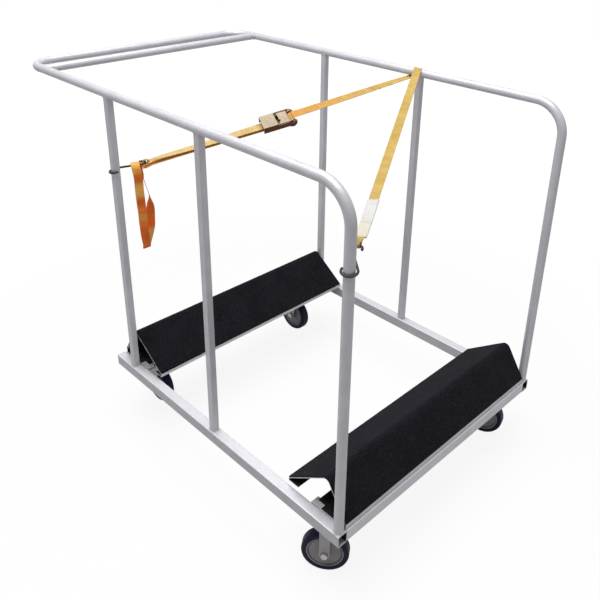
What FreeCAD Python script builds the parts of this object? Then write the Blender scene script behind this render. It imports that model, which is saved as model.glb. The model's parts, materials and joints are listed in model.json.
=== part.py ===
import FreeCAD, Part
import math
import os
import re
import Sketcher
from FreeCAD import Matrix, Placement, Rotation, Vector

# Round table cart: bent tube frame on a rail base, two carpeted saddles, four castors and
# one ratchet strap. Millimetres, +Z up, floor at z = 0, frame along X, push handle at -X.
SIZES = {
    # bent tube frame
    "tube_od": 25.4,
    "tube_wall": 2.0,
    "frame_length": 1380.0,
    "frame_spacing": 838.0,
    "frame_height": 890.0,
    "end_bend": 87.0,
    "handle_bend": 78.0,
    "bar_setback": 104.0,
    "cope_gap": 0.1,
    # base rails and posts
    "rail_width": 30.0,
    "rail_height": 35.0,
    "rail_wall": 2.0,
    "rail_corner": 3.0,
    "rail_length": 995.0,
    "rail_overhang": 14.0,
    "cap_thickness": 3.0,
    "post_size": 20.0,
    "post_wall": 1.6,
    "post_corner": 2.0,
    "rear_post_inset": 83.0,
    "post_pitch": 412.0,
    # carpeted saddles
    "saddle_overlap": 10.0,
    "saddle_lip": 12.0,
    "saddle_apex": 57.0,
    "saddle_rise": 116.0,
    "saddle_depth": 192.0,
    "saddle_sheet": 2.0,
    "saddle_foot": 100.0,
    "saddle_flange": 35.0,
    "saddle_inner_lip": 20.0,
    "saddle_inner_base": 11.0,
    "saddle_side_gap": 1.0,
    "saddle_radius": 14.0,
    "foot_cutback": 15.0,
    "carpet_thickness": 4.0,
    "carpet_gap": 0.1,
    "carpet_margin": 1.5,
    "tab_length": 79.0,
    "tab_reach": 26.0,
    "tab_thickness": 6.0,
    "tab_offset": 30.0,
    "notch_start": 75.0,
    # castors
    "wheel_diameter": 125.0,
    "tyre_width": 32.0,
    "tyre_depth": 13.0,
    "tyre_round": 6.0,
    "hub_length": 38.0,
    "hub_boss": 15.0,
    "hub_web": 24.0,
    "hub_rim": 5.0,
    "hub_rim_width": 28.0,
    "hub_groove": 2.5,
    "hub_groove_depth": 4.0,
    "seat_gap": 0.05,
    "castor_height": 165.0,
    "plate_length": 80.0,
    "plate_width": 100.0,
    "plate_thickness": 3.0,
    "bolt_pitch_long": 60.0,
    "bolt_pitch_wide": 80.0,
    "bolt_radius": 4.0,
    "bolt_gap": 0.2,
    "bolt_head": 5.3,
    "bolt_head_radius": 7.5,
    "pad_thickness": 6.0,
    "pad_setback": 13.0,
    "front_pad_length": 95.0,
    "front_pad_width": 123.0,
    "rear_pad_length": 92.0,
    "rear_pad_width": 172.0,
    "swivel_inset": 53.0,
    "swivel_side": 71.0,
    "fixed_inset": 48.0,
    "fixed_side": 118.0,
    "trail": 40.0,
    "near_turn": 36.0,
    "far_turn": 15.0,
    "race_radius": 30.0,
    "race_depth": 6.0,
    "race_gap": 0.3,
    "ring_outer": 28.0,
    "ring_inner": 20.0,
    "ring_thickness": 3.2,
    "crown_thickness": 3.5,
    "crown_front": 24.0,
    "crown_back": 54.0,
    "king_radius": 6.0,
    "king_head": 10.0,
    "king_head_height": 3.7,
    "run_gap": 0.05,
    "leg_inner": 20.0,
    "leg_thickness": 3.0,
    "leg_end": 14.0,
    "leg_flare": 16.0,
    "leg_shoulder": 4.0,
    "fixed_leg_half": 34.0,
    "axle_radius": 5.0,
    "axle_gap": 0.1,
    "sleeve_radius": 7.0,
    "nut_radius": 9.5,
    "nut_height": 8.0,
    "axle_head": 6.4,
    "axle_end": 3.0,
    # strap and hooks
    "web_width": 25.0,
    "web_thickness": 1.5,
    "wrap_gap": 0.3,
    "hook_wire": 3.0,
    "hook_throat": 17.2,
    "hook_eye": 11.0,
    "hook_length": 74.0,
    "web_taper": 22.0,
    "tail_hang": 43.0,
    "spool_x": 12.0,
    "spool_y": 51.0,
    "spool_z": 984.0,
    "ratchet_roll": 30.0,
    "hook_loop": 5.0,
    "hook_loop_width": 9.0,
    "hook_loop_seat": 11.4,
    "hook_gap": 0.3,
    "front_hook_height": 711.0,
    "rear_hook_height": 668.0,
    "sleeve_start": 112.0,
    "sleeve_length": 145.0,
    "sleeve_thickness": 0.9,
    "sleeve_gap": 0.1,
    "web_rest": 0.3,
    "tail_loop_drop": 262.0,
    # ratchet
    "ratchet_reach": 66.0,
    "base_inner": 15.0,
    "base_sheet": 2.0,
    "base_round": 13.0,
    "base_top": 11.0,
    "base_end": 10.0,
    "floor_start": 20.0,
    "floor_end": 55.0,
    "spool_radius": 6.0,
    "spool_half": 28.0,
    "spool_slot": 2.4,
    "spool_head": 9.0,
    "spool_head_width": 3.0,
    "coil_radius": 10.5,
    "gear_radius": 15.0,
    "gear_inner": 18.0,
    "gear_width": 2.5,
    "tooth_depth": 3.0,
    "pin_radius": 4.0,
    "pin_lead": 16.0,
    "pin_head": 6.0,
    "pin_head_width": 2.5,
    "lever_inner": 22.5,
    "lever_sheet": 2.0,
    "lever_length": 92.0,
    "lever_top": 16.0,
    "lever_bottom": 8.0,
    "grip_start": 48.0,
    "grip_sheet": 3.0,
    "pawl_start": 10.0,
    "pawl_end": 40.0,
    "pawl_level": 11.6,
    "pawl_sheet": 2.0,
    "pawl_half": 27.0,
    "pawl_travel": 5.0,
    "pawl_gap": 0.3,
    "pawl_tab": 4.0,
    "pawl_tab_height": 9.0,
    "pawl_tab_half": 11.0,
    "lock_start": 15.5,
    "lock_end": 44.0,
    "lock_level": 6.5,
    "lock_sheet": 2.5,
    "lock_half": 21.5,
}

doc = FreeCAD.newDocument("round_table_cart")
sheet = doc.addObject("Spreadsheet::Sheet", "Sizes")
for row, (alias, value) in enumerate(SIZES.items(), start=1):
    sheet.set("A%d" % row, alias)
    sheet.set("B%d" % row, str(value))
    sheet.setAlias("B%d" % row, alias)
doc.recompute()

NODES = {}
WORD = re.compile(r"[a-z][a-z_]+")


def ex(text):
    """Turn size names into references to the sheet."""
    return WORD.sub(lambda m: "Sizes." + m.group(0) if m.group(0) in SIZES else m.group(0), str(text))


def num(text):
    """Present value of a size expression."""
    value = sheet.evalExpression(ex(text))
    return float(getattr(value, "Value", value))


def bind(obj, **links):
    """Tie properties of an object to size expressions."""
    for name, text in links.items():
        obj.setExpression(name, ex(text))


def seat(obj, x, y, z, rotation=None):
    """Place an object; the position follows the sizes."""
    if rotation is not None:
        obj.Placement = Placement(Vector(), rotation)
    for axis, text in zip("xyz", (x, y, z)):
        obj.setExpression("Placement.Base." + axis, ex(text))
    return obj


def node(name, obj):
    """Register a finished piece under its node name."""
    obj.Label = name
    NODES[name] = obj
    return obj


def box(x0, x1, y0, y1, z0, z1):
    """Block between two corners."""
    obj = doc.addObject("Part::Box", "Block")
    bind(obj, Length="(%s) - (%s)" % (x1, x0), Width="(%s) - (%s)" % (y1, y0),
         Height="(%s) - (%s)" % (z1, z0))
    return seat(obj, x0, y0, z0)


ALONG_X = Rotation(Vector(0, 1, 0), 90)
ALONG_Y = Rotation(Vector(1, 0, 0), -90)


def rod(radius, length, x, y, z, along=None):
    """Cylinder from a start point along +Z, +Y or +X."""
    obj = doc.addObject("Part::Cylinder", "Rod")
    bind(obj, Radius=radius, Height=length)
    return seat(obj, x, y, z, along)


def hexagon(radius, length, x, y, z, along=None):
    """Six-sided head or nut."""
    obj = doc.addObject("Part::Prism", "Hexagon")
    obj.Polygon = 6
    bind(obj, Circumradius=radius, Height=length)
    return seat(obj, x, y, z, along)


def fuse(*parts):
    """One solid from several."""
    obj = doc.addObject("Part::MultiFuse", "Joined")
    obj.Shapes = list(parts)
    obj.Refine = True
    return obj


def group(*parts):
    """Several separate solids kept in one piece list."""
    obj = doc.addObject("Part::Compound", "Group")
    obj.Links = list(parts)
    return obj


def cut(base, *tools):
    """Base with the tools removed."""
    obj = doc.addObject("Part::Cut", "Shaped")
    obj.Base = base
    obj.Tool = tools[0] if len(tools) == 1 else group(*tools)
    return obj


def soften(base, radius, axis):
    """Round the four long edges of a block along one axis."""
    doc.recompute()
    obj = doc.addObject("Part::Fillet", "Softened")
    obj.Base = base
    chosen = []
    for index, edge in enumerate(base.Shape.Edges, start=1):
        run = edge.Vertexes[-1].Point - edge.Vertexes[0].Point
        if abs(run.normalize().dot(axis)) > 0.99:
            chosen.append((index, num(radius), num(radius)))
    obj.Edges = chosen
    return obj


def plane_of(body, role):
    """Origin plane or axis of a body by its role."""
    return [item for item in body.Origin.OriginFeatures if item.Role == role][0]


def blank_sketch(body, role):
    """Empty sketch on an origin plane of a body."""
    sketch = body.newObject("Sketcher::SketchObject", "Outline")
    sketch.AttachmentSupport = [(plane_of(body, role), "")]
    sketch.MapMode = "FlatFace"
    return sketch


def hold(sketch, kind, geometry, place, text):
    """Tie one coordinate of a sketch point to a size expression."""
    index = sketch.addConstraint(Sketcher.Constraint(kind, -1, 1, geometry, place, num(text)))
    sketch.setExpression("Constraints[%d]" % index, ex(text))


def outline(body, role, corners):
    """Closed outline whose corners all follow the sizes."""
    sketch = blank_sketch(body, role)
    points = [Vector(num(u), num(v), 0) for u, v in corners]
    for index, point in enumerate(points):
        sketch.addGeometry(Part.LineSegment(point, points[(index + 1) % len(points)]), False)
    for index in range(len(points)):
        follow = (index + 1) % len(points)
        sketch.addConstraint(Sketcher.Constraint("Coincident", index, 2, follow, 1))
    for index, (u, v) in enumerate(corners):
        hold(sketch, "DistanceX", index, 1, u)
        hold(sketch, "DistanceY", index, 1, v)
    return sketch


def slab(corners, width, role="XZ_Plane"):
    """Body: an outline padded evenly to both sides of its plane."""
    body = doc.addObject("PartDesign::Body", "Slab")
    sketch = outline(body, role, corners)
    pad = body.newObject("PartDesign::Pad", "Thickness")
    pad.Profile = sketch
    pad.Midplane = True
    bind(pad, Length=width)
    doc.recompute()
    return body


def turned(corners):
    """Body: an outline in the radius (x) and axis (z) plane turned about Z."""
    body = doc.addObject("PartDesign::Body", "Turned")
    sketch = outline(body, "XZ_Plane", corners)
    ring = body.newObject("PartDesign::Revolution", "Ring")
    ring.Profile = sketch
    ring.ReferenceAxis = (plane_of(body, "Z_Axis"), [""])
    ring.Angle = 360.0
    doc.recompute()
    return body


def round_edges(body, radius, wanted):
    """Round the edges of a body whose middle is near a wanted (x, z) place."""
    feature = body.Tip
    names = []
    for index, edge in enumerate(feature.Shape.Edges, start=1):
        middle = edge.CenterOfMass
        for x, z in wanted:
            if math.hypot(middle.x - num(x), middle.z - num(z)) < 0.01 and len(edge.Vertexes) == 2:
                if abs((edge.Vertexes[1].Point - edge.Vertexes[0].Point).y) > 1.0:
                    names.append("Edge%d" % index)
    blend = body.newObject("PartDesign::Fillet", "Blend")
    blend.Base = (feature, names)
    bind(blend, Radius=radius)
    doc.recompute()
    return body


def solid(name, shape):
    """Piece with a free form that no feature gives."""
    obj = doc.addObject("Part::Feature", name)
    obj.Shape = shape
    return node(name, obj)


def join_words(text, words):
    """Fill named sub-expressions into an expression."""
    for key, value in words.items():
        text = re.sub(r"\b%s\b" % key, "(%s)" % value, text)
    return text


# Places shared by all pieces.
SIDE = "(frame_spacing / 2)"
END_X = "((frame_length + tube_od / 2 - rail_overhang) / 2)"
HANDLE_X = "(%s - frame_length)" % END_X
RAIL_X1 = "(%s + rail_overhang)" % END_X
RAIL_X0 = "(%s - rail_length)" % RAIL_X1
RAIL_Z = "(castor_height + pad_thickness)"
TOP_Z = "(%s + rail_height)" % RAIL_Z
TUBE_Z = "(%s + frame_height)" % TOP_Z
REAR_POST_X = "(%s + rear_post_inset)" % RAIL_X0
MIDDLE_POST_X = "(%s + post_pitch)" % REAR_POST_X
SIDES = (("near", -1), ("far", 1))


def tube_profile(body, offset, u, v):
    """Tube section (outer and bore circle) square to X at a given x."""
    sketch = blank_sketch(body, "YZ_Plane")
    sketch.setExpression("AttachmentOffset.Base.z", ex(offset))
    centre = Vector(num(u), num(v), 0)
    for index, radius in enumerate(("tube_od / 2", "tube_od / 2 - tube_wall")):
        sketch.addGeometry(Part.Circle(centre, Vector(0, 0, 1), num(radius)), False)
        hold(sketch, "DistanceX", index, 3, u)
        hold(sketch, "DistanceY", index, 3, v)
        held = sketch.addConstraint(Sketcher.Constraint("Radius", index, num(radius)))
        sketch.setExpression("Constraints[%d]" % held, ex(radius))
    return sketch


def bent_tube(body, profile, path, edges):
    """Tube along a bent path."""
    pipe = body.newObject("PartDesign::AdditivePipe", "Tube")
    pipe.Profile = profile
    pipe.Spine = (path, ["Edge%d" % index for index in range(1, edges + 1)])
    doc.recompute()
    return body


def held_radius(sketch, geometry, text):
    """Tie the radius of a bend to a size."""
    index = sketch.addConstraint(Sketcher.Constraint("Radius", geometry, num(text)))
    sketch.setExpression("Constraints[%d]" % index, ex(text))


# Side tubes: along the top, over the end bend and down to the base rail.
for side, sign in SIDES:
    body = doc.addObject("PartDesign::Body", side + "_tube")
    start_x = "(%s + handle_bend)" % HANDLE_X
    path = blank_sketch(body, "XZ_Plane")
    bend = num("end_bend")
    corner = Vector(num(END_X) - bend, num(TUBE_Z) - bend, 0)
    path.addGeometry(Part.LineSegment(Vector(num(start_x), num(TUBE_Z), 0),
                                      Vector(corner.x, num(TUBE_Z), 0)), False)
    path.addGeometry(Part.ArcOfCircle(Part.Circle(corner, Vector(0, 0, 1), bend),
                                      0, math.pi / 2), False)
    path.addGeometry(Part.LineSegment(Vector(num(END_X), corner.y, 0),
                                      Vector(num(END_X), num(TOP_Z), 0)), False)
    path.addConstraint(Sketcher.Constraint("Tangent", 0, 2, 1, 2))
    path.addConstraint(Sketcher.Constraint("Tangent", 1, 1, 2, 1))
    path.addConstraint(Sketcher.Constraint("Horizontal", 0))
    path.addConstraint(Sketcher.Constraint("Vertical", 2))
    held_radius(path, 1, "end_bend")
    hold(path, "DistanceX", 0, 1, start_x)
    hold(path, "DistanceY", 0, 1, TUBE_Z)
    hold(path, "DistanceX", 2, 2, END_X)
    hold(path, "DistanceY", 2, 2, TOP_Z)
    profile = tube_profile(body, start_x, "0", TUBE_Z)
    bent_tube(body, profile, path, 3)
    node(side + "_side_tube", seat(body, "0", "%d * %s" % (sign, SIDE), "0"))

# Push handle: cross tube with a bend to each side tube.
body = doc.addObject("PartDesign::Body", "handle_tube")
path = blank_sketch(body, "XY_Plane")
bend = num("handle_bend")
inner = num(SIDE) - bend
left = num(HANDLE_X)
near_centre = Vector(left + bend, -inner, 0)
far_centre = Vector(left + bend, inner, 0)
path.addGeometry(Part.ArcOfCircle(Part.Circle(near_centre, Vector(0, 0, 1), bend),
                                  math.pi, 1.5 * math.pi), False)
path.addGeometry(Part.LineSegment(Vector(left, -inner, 0), Vector(left, inner, 0)), False)
path.addGeometry(Part.ArcOfCircle(Part.Circle(far_centre, Vector(0, 0, 1), bend),
                                  0.5 * math.pi, math.pi), False)
path.addConstraint(Sketcher.Constraint("Tangent", 0, 1, 1, 1))
path.addConstraint(Sketcher.Constraint("Tangent", 1, 2, 2, 2))
path.addConstraint(Sketcher.Constraint("Vertical", 1))
held_radius(path, 0, "handle_bend")
held_radius(path, 2, "handle_bend")
hold(path, "DistanceX", 0, 2, "(%s + handle_bend)" % HANDLE_X)
hold(path, "DistanceY", 0, 2, "-%s" % SIDE)
hold(path, "DistanceX", 1, 1, HANDLE_X)
hold(path, "DistanceX", 2, 1, "(%s + handle_bend)" % HANDLE_X)
hold(path, "DistanceY", 2, 1, SIDE)
profile = tube_profile(body, "(%s + handle_bend)" % HANDLE_X, "-%s" % SIDE, "0")
bent_tube(body, profile, path, 3)
node("push_handle", seat(body, "0", "0", TUBE_Z))

# Cross bar behind the handle, coped to the side tubes.
bar_x = "(%s + bar_setback)" % HANDLE_X
copes = [rod("tube_od / 2 + cope_gap", "4 * tube_od", "%s - 2 * tube_od" % bar_x,
             "%d * %s" % (sign, SIDE), TUBE_Z, ALONG_X) for side, sign in SIDES]
bar = cut(rod("tube_od / 2", "frame_spacing", bar_x, "-%s" % SIDE, TUBE_Z, ALONG_Y),
          rod("tube_od / 2 - tube_wall", "frame_spacing", bar_x, "-%s" % SIDE, TUBE_Z, ALONG_Y))
node("handle_cross_bar", cut(bar, *copes))

# Base rails: two long side rails, two end rails butted between them, end caps.
caps = []
for side, sign in SIDES:
    y0 = "%d * %s - rail_width / 2" % (sign, SIDE)
    y1 = "%d * %s + rail_width / 2" % (sign, SIDE)
    skin = soften(box(RAIL_X0, RAIL_X1, y0, y1, RAIL_Z, TOP_Z), "rail_corner", Vector(1, 0, 0))
    core = box("%s - 1" % RAIL_X0, "%s + 1" % RAIL_X1, y0 + " + rail_wall", y1 + " - rail_wall",
               RAIL_Z + " + rail_wall", TOP_Z + " - rail_wall")
    node(side + "_side_rail", cut(skin, core))
    caps.append(soften(box("%s - cap_thickness" % RAIL_X0, RAIL_X0, y0, y1, RAIL_Z, TOP_Z),
                       "rail_corner", Vector(1, 0, 0)))
node("rail_end_caps", group(*caps))
inside = "(%s - rail_width / 2)" % SIDE
for name, x0 in (("front", "%s - rail_width" % RAIL_X1), ("rear", RAIL_X0)):
    skin = soften(box(x0, x0 + " + rail_width", "-%s" % inside, inside, RAIL_Z, TOP_Z),
                  "rail_corner", Vector(0, 1, 0))
    core = box(x0 + " + rail_wall", x0 + " + rail_width - rail_wall", "-%s - 1" % inside,
               inside + " + 1", RAIL_Z + " + rail_wall", TOP_Z + " - rail_wall")
    node(name + "_end_rail", cut(skin, core))

# Square posts from the side rails to the side tubes, coped under the tube.
for side, sign in SIDES:
    for place, post_x in (("rear", REAR_POST_X), ("middle", MIDDLE_POST_X)):
        y = "%d * %s" % (sign, SIDE)
        skin = soften(box(post_x + " - post_size / 2", post_x + " + post_size / 2",
                          y + " - post_size / 2", y + " + post_size / 2", TOP_Z, TUBE_Z),
                      "post_corner", Vector(0, 0, 1))
        reach = "post_size / 2 - post_wall"
        core = box("%s - (%s)" % (post_x, reach), "%s + (%s)" % (post_x, reach),
                   "%s - (%s)" % (y, reach), "%s + (%s)" % (y, reach),
                   TOP_Z + " - 1", TUBE_Z + " + 1")
        cope = rod("tube_od / 2 + cope_gap", "4 * post_size", post_x + " - 2 * post_size",
                   y, TUBE_Z, ALONG_X)
        node("%s_%s_post" % (side, place), cut(skin, core, cope))

# Saddles: bent sheet, high at the apex, folded down to a lip and a flange on both sides.
SLOPES = {
    "slope_out": "(saddle_rise - saddle_lip) / (saddle_apex + saddle_overlap)",
    "slope_in": "(saddle_rise - saddle_inner_lip) / (saddle_depth - saddle_apex)",
}
ROOTS = {
    "root_out": join_words("sqrt(1 + slope_out * slope_out)", SLOPES),
    "root_in": join_words("sqrt(1 + slope_in * slope_in)", SLOPES),
}
PARTS = dict(SLOPES, **ROOTS)


def slope_apex(offset):
    """Corner of the two slopes moved outward by an offset."""
    words = dict(PARTS, off=offset)
    along = ("(saddle_inner_lip - saddle_lip + saddle_depth * slope_in - saddle_overlap * slope_out"
             " + off * (root_in - root_out)) / (slope_in + slope_out)")
    u = join_words(along, words)
    z = "saddle_inner_lip + (saddle_depth - (%s)) * (%s) + (%s) * (%s)" % (
        u, PARTS["slope_in"], offset, PARTS["root_in"])
    return u, z


fold = "%s + saddle_sheet * (%s) - saddle_sheet * (%s)"
fold_in = fold % ("saddle_inner_lip", PARTS["slope_in"], PARTS["root_in"])
fold_out = fold % ("saddle_lip", PARTS["slope_out"], PARTS["root_out"])
inner_flange = "saddle_inner_base + saddle_sheet"
under = slope_apex("-saddle_sheet")
over = slope_apex("0")
SHEET_OUTLINE = (
    ("-saddle_overlap", "0"), ("-saddle_overlap", "saddle_lip"), over,
    ("saddle_depth", "saddle_inner_lip"), ("saddle_depth", "saddle_inner_base"),
    ("saddle_depth - saddle_flange", "saddle_inner_base"),
    ("saddle_depth - saddle_flange", inner_flange),
    ("saddle_depth - saddle_sheet", inner_flange), ("saddle_depth - saddle_sheet", fold_in),
    under, ("saddle_sheet - saddle_overlap", fold_out),
    ("saddle_sheet - saddle_overlap", "saddle_sheet"), ("saddle_foot", "saddle_sheet"),
    ("saddle_foot", "0"),
)
saddle_width = "(frame_spacing - rail_width - 2 * saddle_side_gap)"
pile = "(carpet_gap + carpet_thickness)"
under_pile = slope_apex("carpet_gap")
over_pile = slope_apex(pile)


def carpet_edge(along, inner):
    """Two corners of the carpet's lower edge, square to its slope."""
    slope = PARTS["slope_in" if inner else "slope_out"]
    root = PARTS["root_in" if inner else "root_out"]
    run = "saddle_depth - (%s)" % along if inner else "(%s) + saddle_overlap" % along
    lip = "saddle_inner_lip" if inner else "saddle_lip"
    z = "%s + (%s) * (%s) + carpet_gap * (%s)" % (lip, run, slope, root)
    lean = "carpet_thickness * (%s) / (%s)" % (slope, root)
    sign = "+" if inner else "-"
    top = ("%s %s %s" % (along, sign, lean), "%s + carpet_thickness / (%s)" % (z, root))
    return (along, z), top


low_in, top_in = carpet_edge("saddle_depth - carpet_margin", True)
low_out, top_out = carpet_edge("carpet_margin - saddle_overlap", False)
CARPET_OUTLINE = (low_out, top_out, over_pile, top_in, low_in, under_pile)

tabs = []
for name, line_x, turn in (("front", "%s - rail_width / 2" % RAIL_X1, 180),
                           ("rear", "%s + rail_width / 2" % RAIL_X0, 0)):
    facing = Rotation(Vector(0, 0, 1), turn)
    metal = slab(SHEET_OUTLINE, saddle_width)
    round_edges(metal, "saddle_radius", [over])
    round_edges(metal, "saddle_radius - saddle_sheet", [under])
    half = "(%s / 2)" % saddle_width
    notches = []
    for sign in (-1, 1):
        y0, y1 = "%s - foot_cutback" % half, "%s + 1" % half
        if sign < 0:
            y0, y1 = "-%s - 1" % half, "foot_cutback - %s" % half
        notches.append(box("notch_start", "saddle_foot + 1", y0, y1, "-1", "saddle_sheet + 1"))
    node(name + "_saddle", seat(cut(metal, *notches), line_x, "0", TOP_Z, facing))
    cover = slab(CARPET_OUTLINE, saddle_width)
    round_edges(cover, "saddle_radius + " + pile, [over_pile])
    round_edges(cover, "saddle_radius + carpet_gap", [under_pile])
    node(name + "_carpet", seat(cover, line_x, "0", TOP_Z, facing))
    away = -1 if turn else 1
    for side, sign in SIDES:
        ends = ["%s + %d * tab_offset" % (line_x, away),
                "%s + %d * (tab_offset + tab_length)" % (line_x, away)]
        edges = ["%d * (%s - tab_reach)" % (sign, inside), "%d * %s" % (sign, inside)]
        x0, x1 = ends if away > 0 else ends[::-1]
        y0, y1 = edges if sign > 0 else edges[::-1]
        tabs.append(box(x0, x1, y0, y1, TOP_Z + " - tab_thickness", TOP_Z))
node("saddle_support_tabs", group(*tabs))

# Castors. Each is drawn about its own axis with the wheel trailing toward -X.
AXLE_Z = "(wheel_diameter / 2)"
PLATE_Z = "(castor_height - plate_thickness)"
RACE_Z = "(%s - race_depth)" % PLATE_Z
CROWN_Z = "(%s - race_gap - ring_thickness)" % RACE_Z
FORK_Z = "(%s - crown_thickness)" % CROWN_Z
LEG_OUT = "(leg_inner + leg_thickness)"
BOLTS = [(i, j) for i in (-1, 1) for j in (-1, 1)]


def plate_with_holes(*extra):
    """Castor plate, with whatever is pressed or welded to it, drilled for its bolts."""
    plate = box("-plate_length / 2", "plate_length / 2", "-plate_width / 2", "plate_width / 2",
                PLATE_Z, "castor_height")
    holes = [rod("bolt_radius + bolt_gap", "plate_thickness + 2", "%d * bolt_pitch_long / 2" % i,
                 "%d * bolt_pitch_wide / 2" % j, PLATE_Z + " - 1") for i, j in BOLTS]
    return cut(fuse(plate, *extra) if extra else plate, *holes)


def leg_pair(corners, axle_x):
    """Two fork legs with rounded axle ends."""
    legs = []
    for sign in (-1, 1):
        centre = "%d * (leg_inner + leg_thickness / 2)" % sign
        legs.append(seat(slab(corners, "leg_thickness"), "0", centre, "0"))
        start = "leg_inner" if sign > 0 else "-%s" % LEG_OUT
        legs.append(rod("leg_end", "leg_thickness", axle_x, start, AXLE_Z, ALONG_Y))
    return legs


def axle_hole(axle_x):
    """Drill for the axle bolt through both legs."""
    return rod("axle_radius + axle_gap", "2 * %s + 4" % LEG_OUT, axle_x, "-%s - 2" % LEG_OUT,
               AXLE_Z, ALONG_Y)


def axle_set(axle_x):
    """Axle bolt, its nut and the bearing sleeve between the legs."""
    shank = rod("axle_radius", "2 * %s + nut_height + axle_end" % LEG_OUT, axle_x, "-%s" % LEG_OUT,
                AXLE_Z, ALONG_Y)
    head = hexagon("nut_radius", "axle_head", axle_x, "-%s - axle_head" % LEG_OUT, AXLE_Z, ALONG_Y)
    nut = cut(hexagon("nut_radius", "nut_height", axle_x, LEG_OUT, AXLE_Z, ALONG_Y),
              rod("axle_radius + axle_gap", "nut_height + 2", axle_x, LEG_OUT + " - 1", AXLE_Z,
                  ALONG_Y))
    sleeve = cut(rod("sleeve_radius", "2 * leg_inner", axle_x, "-leg_inner", AXLE_Z, ALONG_Y),
                 rod("axle_radius + axle_gap", "2 * leg_inner + 2", axle_x, "-leg_inner - 1",
                     AXLE_Z, ALONG_Y))
    return group(fuse(shank, head), nut, sleeve)


SEAT = "(wheel_diameter / 2 - tyre_depth)"
GROOVE = SEAT + " - hub_rim - hub_groove"
HUB_OUTLINE = (
    ("sleeve_radius + run_gap", "-hub_length / 2"), ("hub_boss", "-hub_length / 2"),
    ("hub_boss", "-hub_web / 2"), (GROOVE, "-hub_web / 2"),
    (GROOVE, "hub_groove_depth - hub_web / 2"), (SEAT + " - hub_rim", "hub_groove_depth - hub_web / 2"),
    (SEAT + " - hub_rim", "-hub_rim_width / 2"), (SEAT + " - seat_gap", "-hub_rim_width / 2"),
    (SEAT + " - seat_gap", "hub_rim_width / 2"), (SEAT + " - hub_rim", "hub_rim_width / 2"),
    (SEAT + " - hub_rim", "hub_web / 2 - hub_groove_depth"), (GROOVE, "hub_web / 2 - hub_groove_depth"),
    (GROOVE, "hub_web / 2"), ("hub_boss", "hub_web / 2"),
    ("hub_boss", "hub_length / 2"), ("sleeve_radius + run_gap", "hub_length / 2"),
)
TREAD = "wheel_diameter / 2"
TYRE_OUTLINE = (
    (SEAT, "-tyre_width / 2"), (TREAD + " - tyre_round", "-tyre_width / 2"),
    (TREAD + " - 0.3 * tyre_round", "0.3 * tyre_round - tyre_width / 2"),
    (TREAD, "tyre_round - tyre_width / 2"), (TREAD, "tyre_width / 2 - tyre_round"),
    (TREAD + " - 0.3 * tyre_round", "tyre_width / 2 - 0.3 * tyre_round"),
    (TREAD + " - tyre_round", "tyre_width / 2"), (SEAT, "tyre_width / 2"),
)
WHEEL_TURN = Rotation(Vector(1, 0, 0), 90)


def wheel_piece(corners, axle_x):
    """Turned wheel piece laid on its axle."""
    return group(seat(turned(corners), axle_x, "0", AXLE_Z, WHEEL_TURN))


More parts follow.
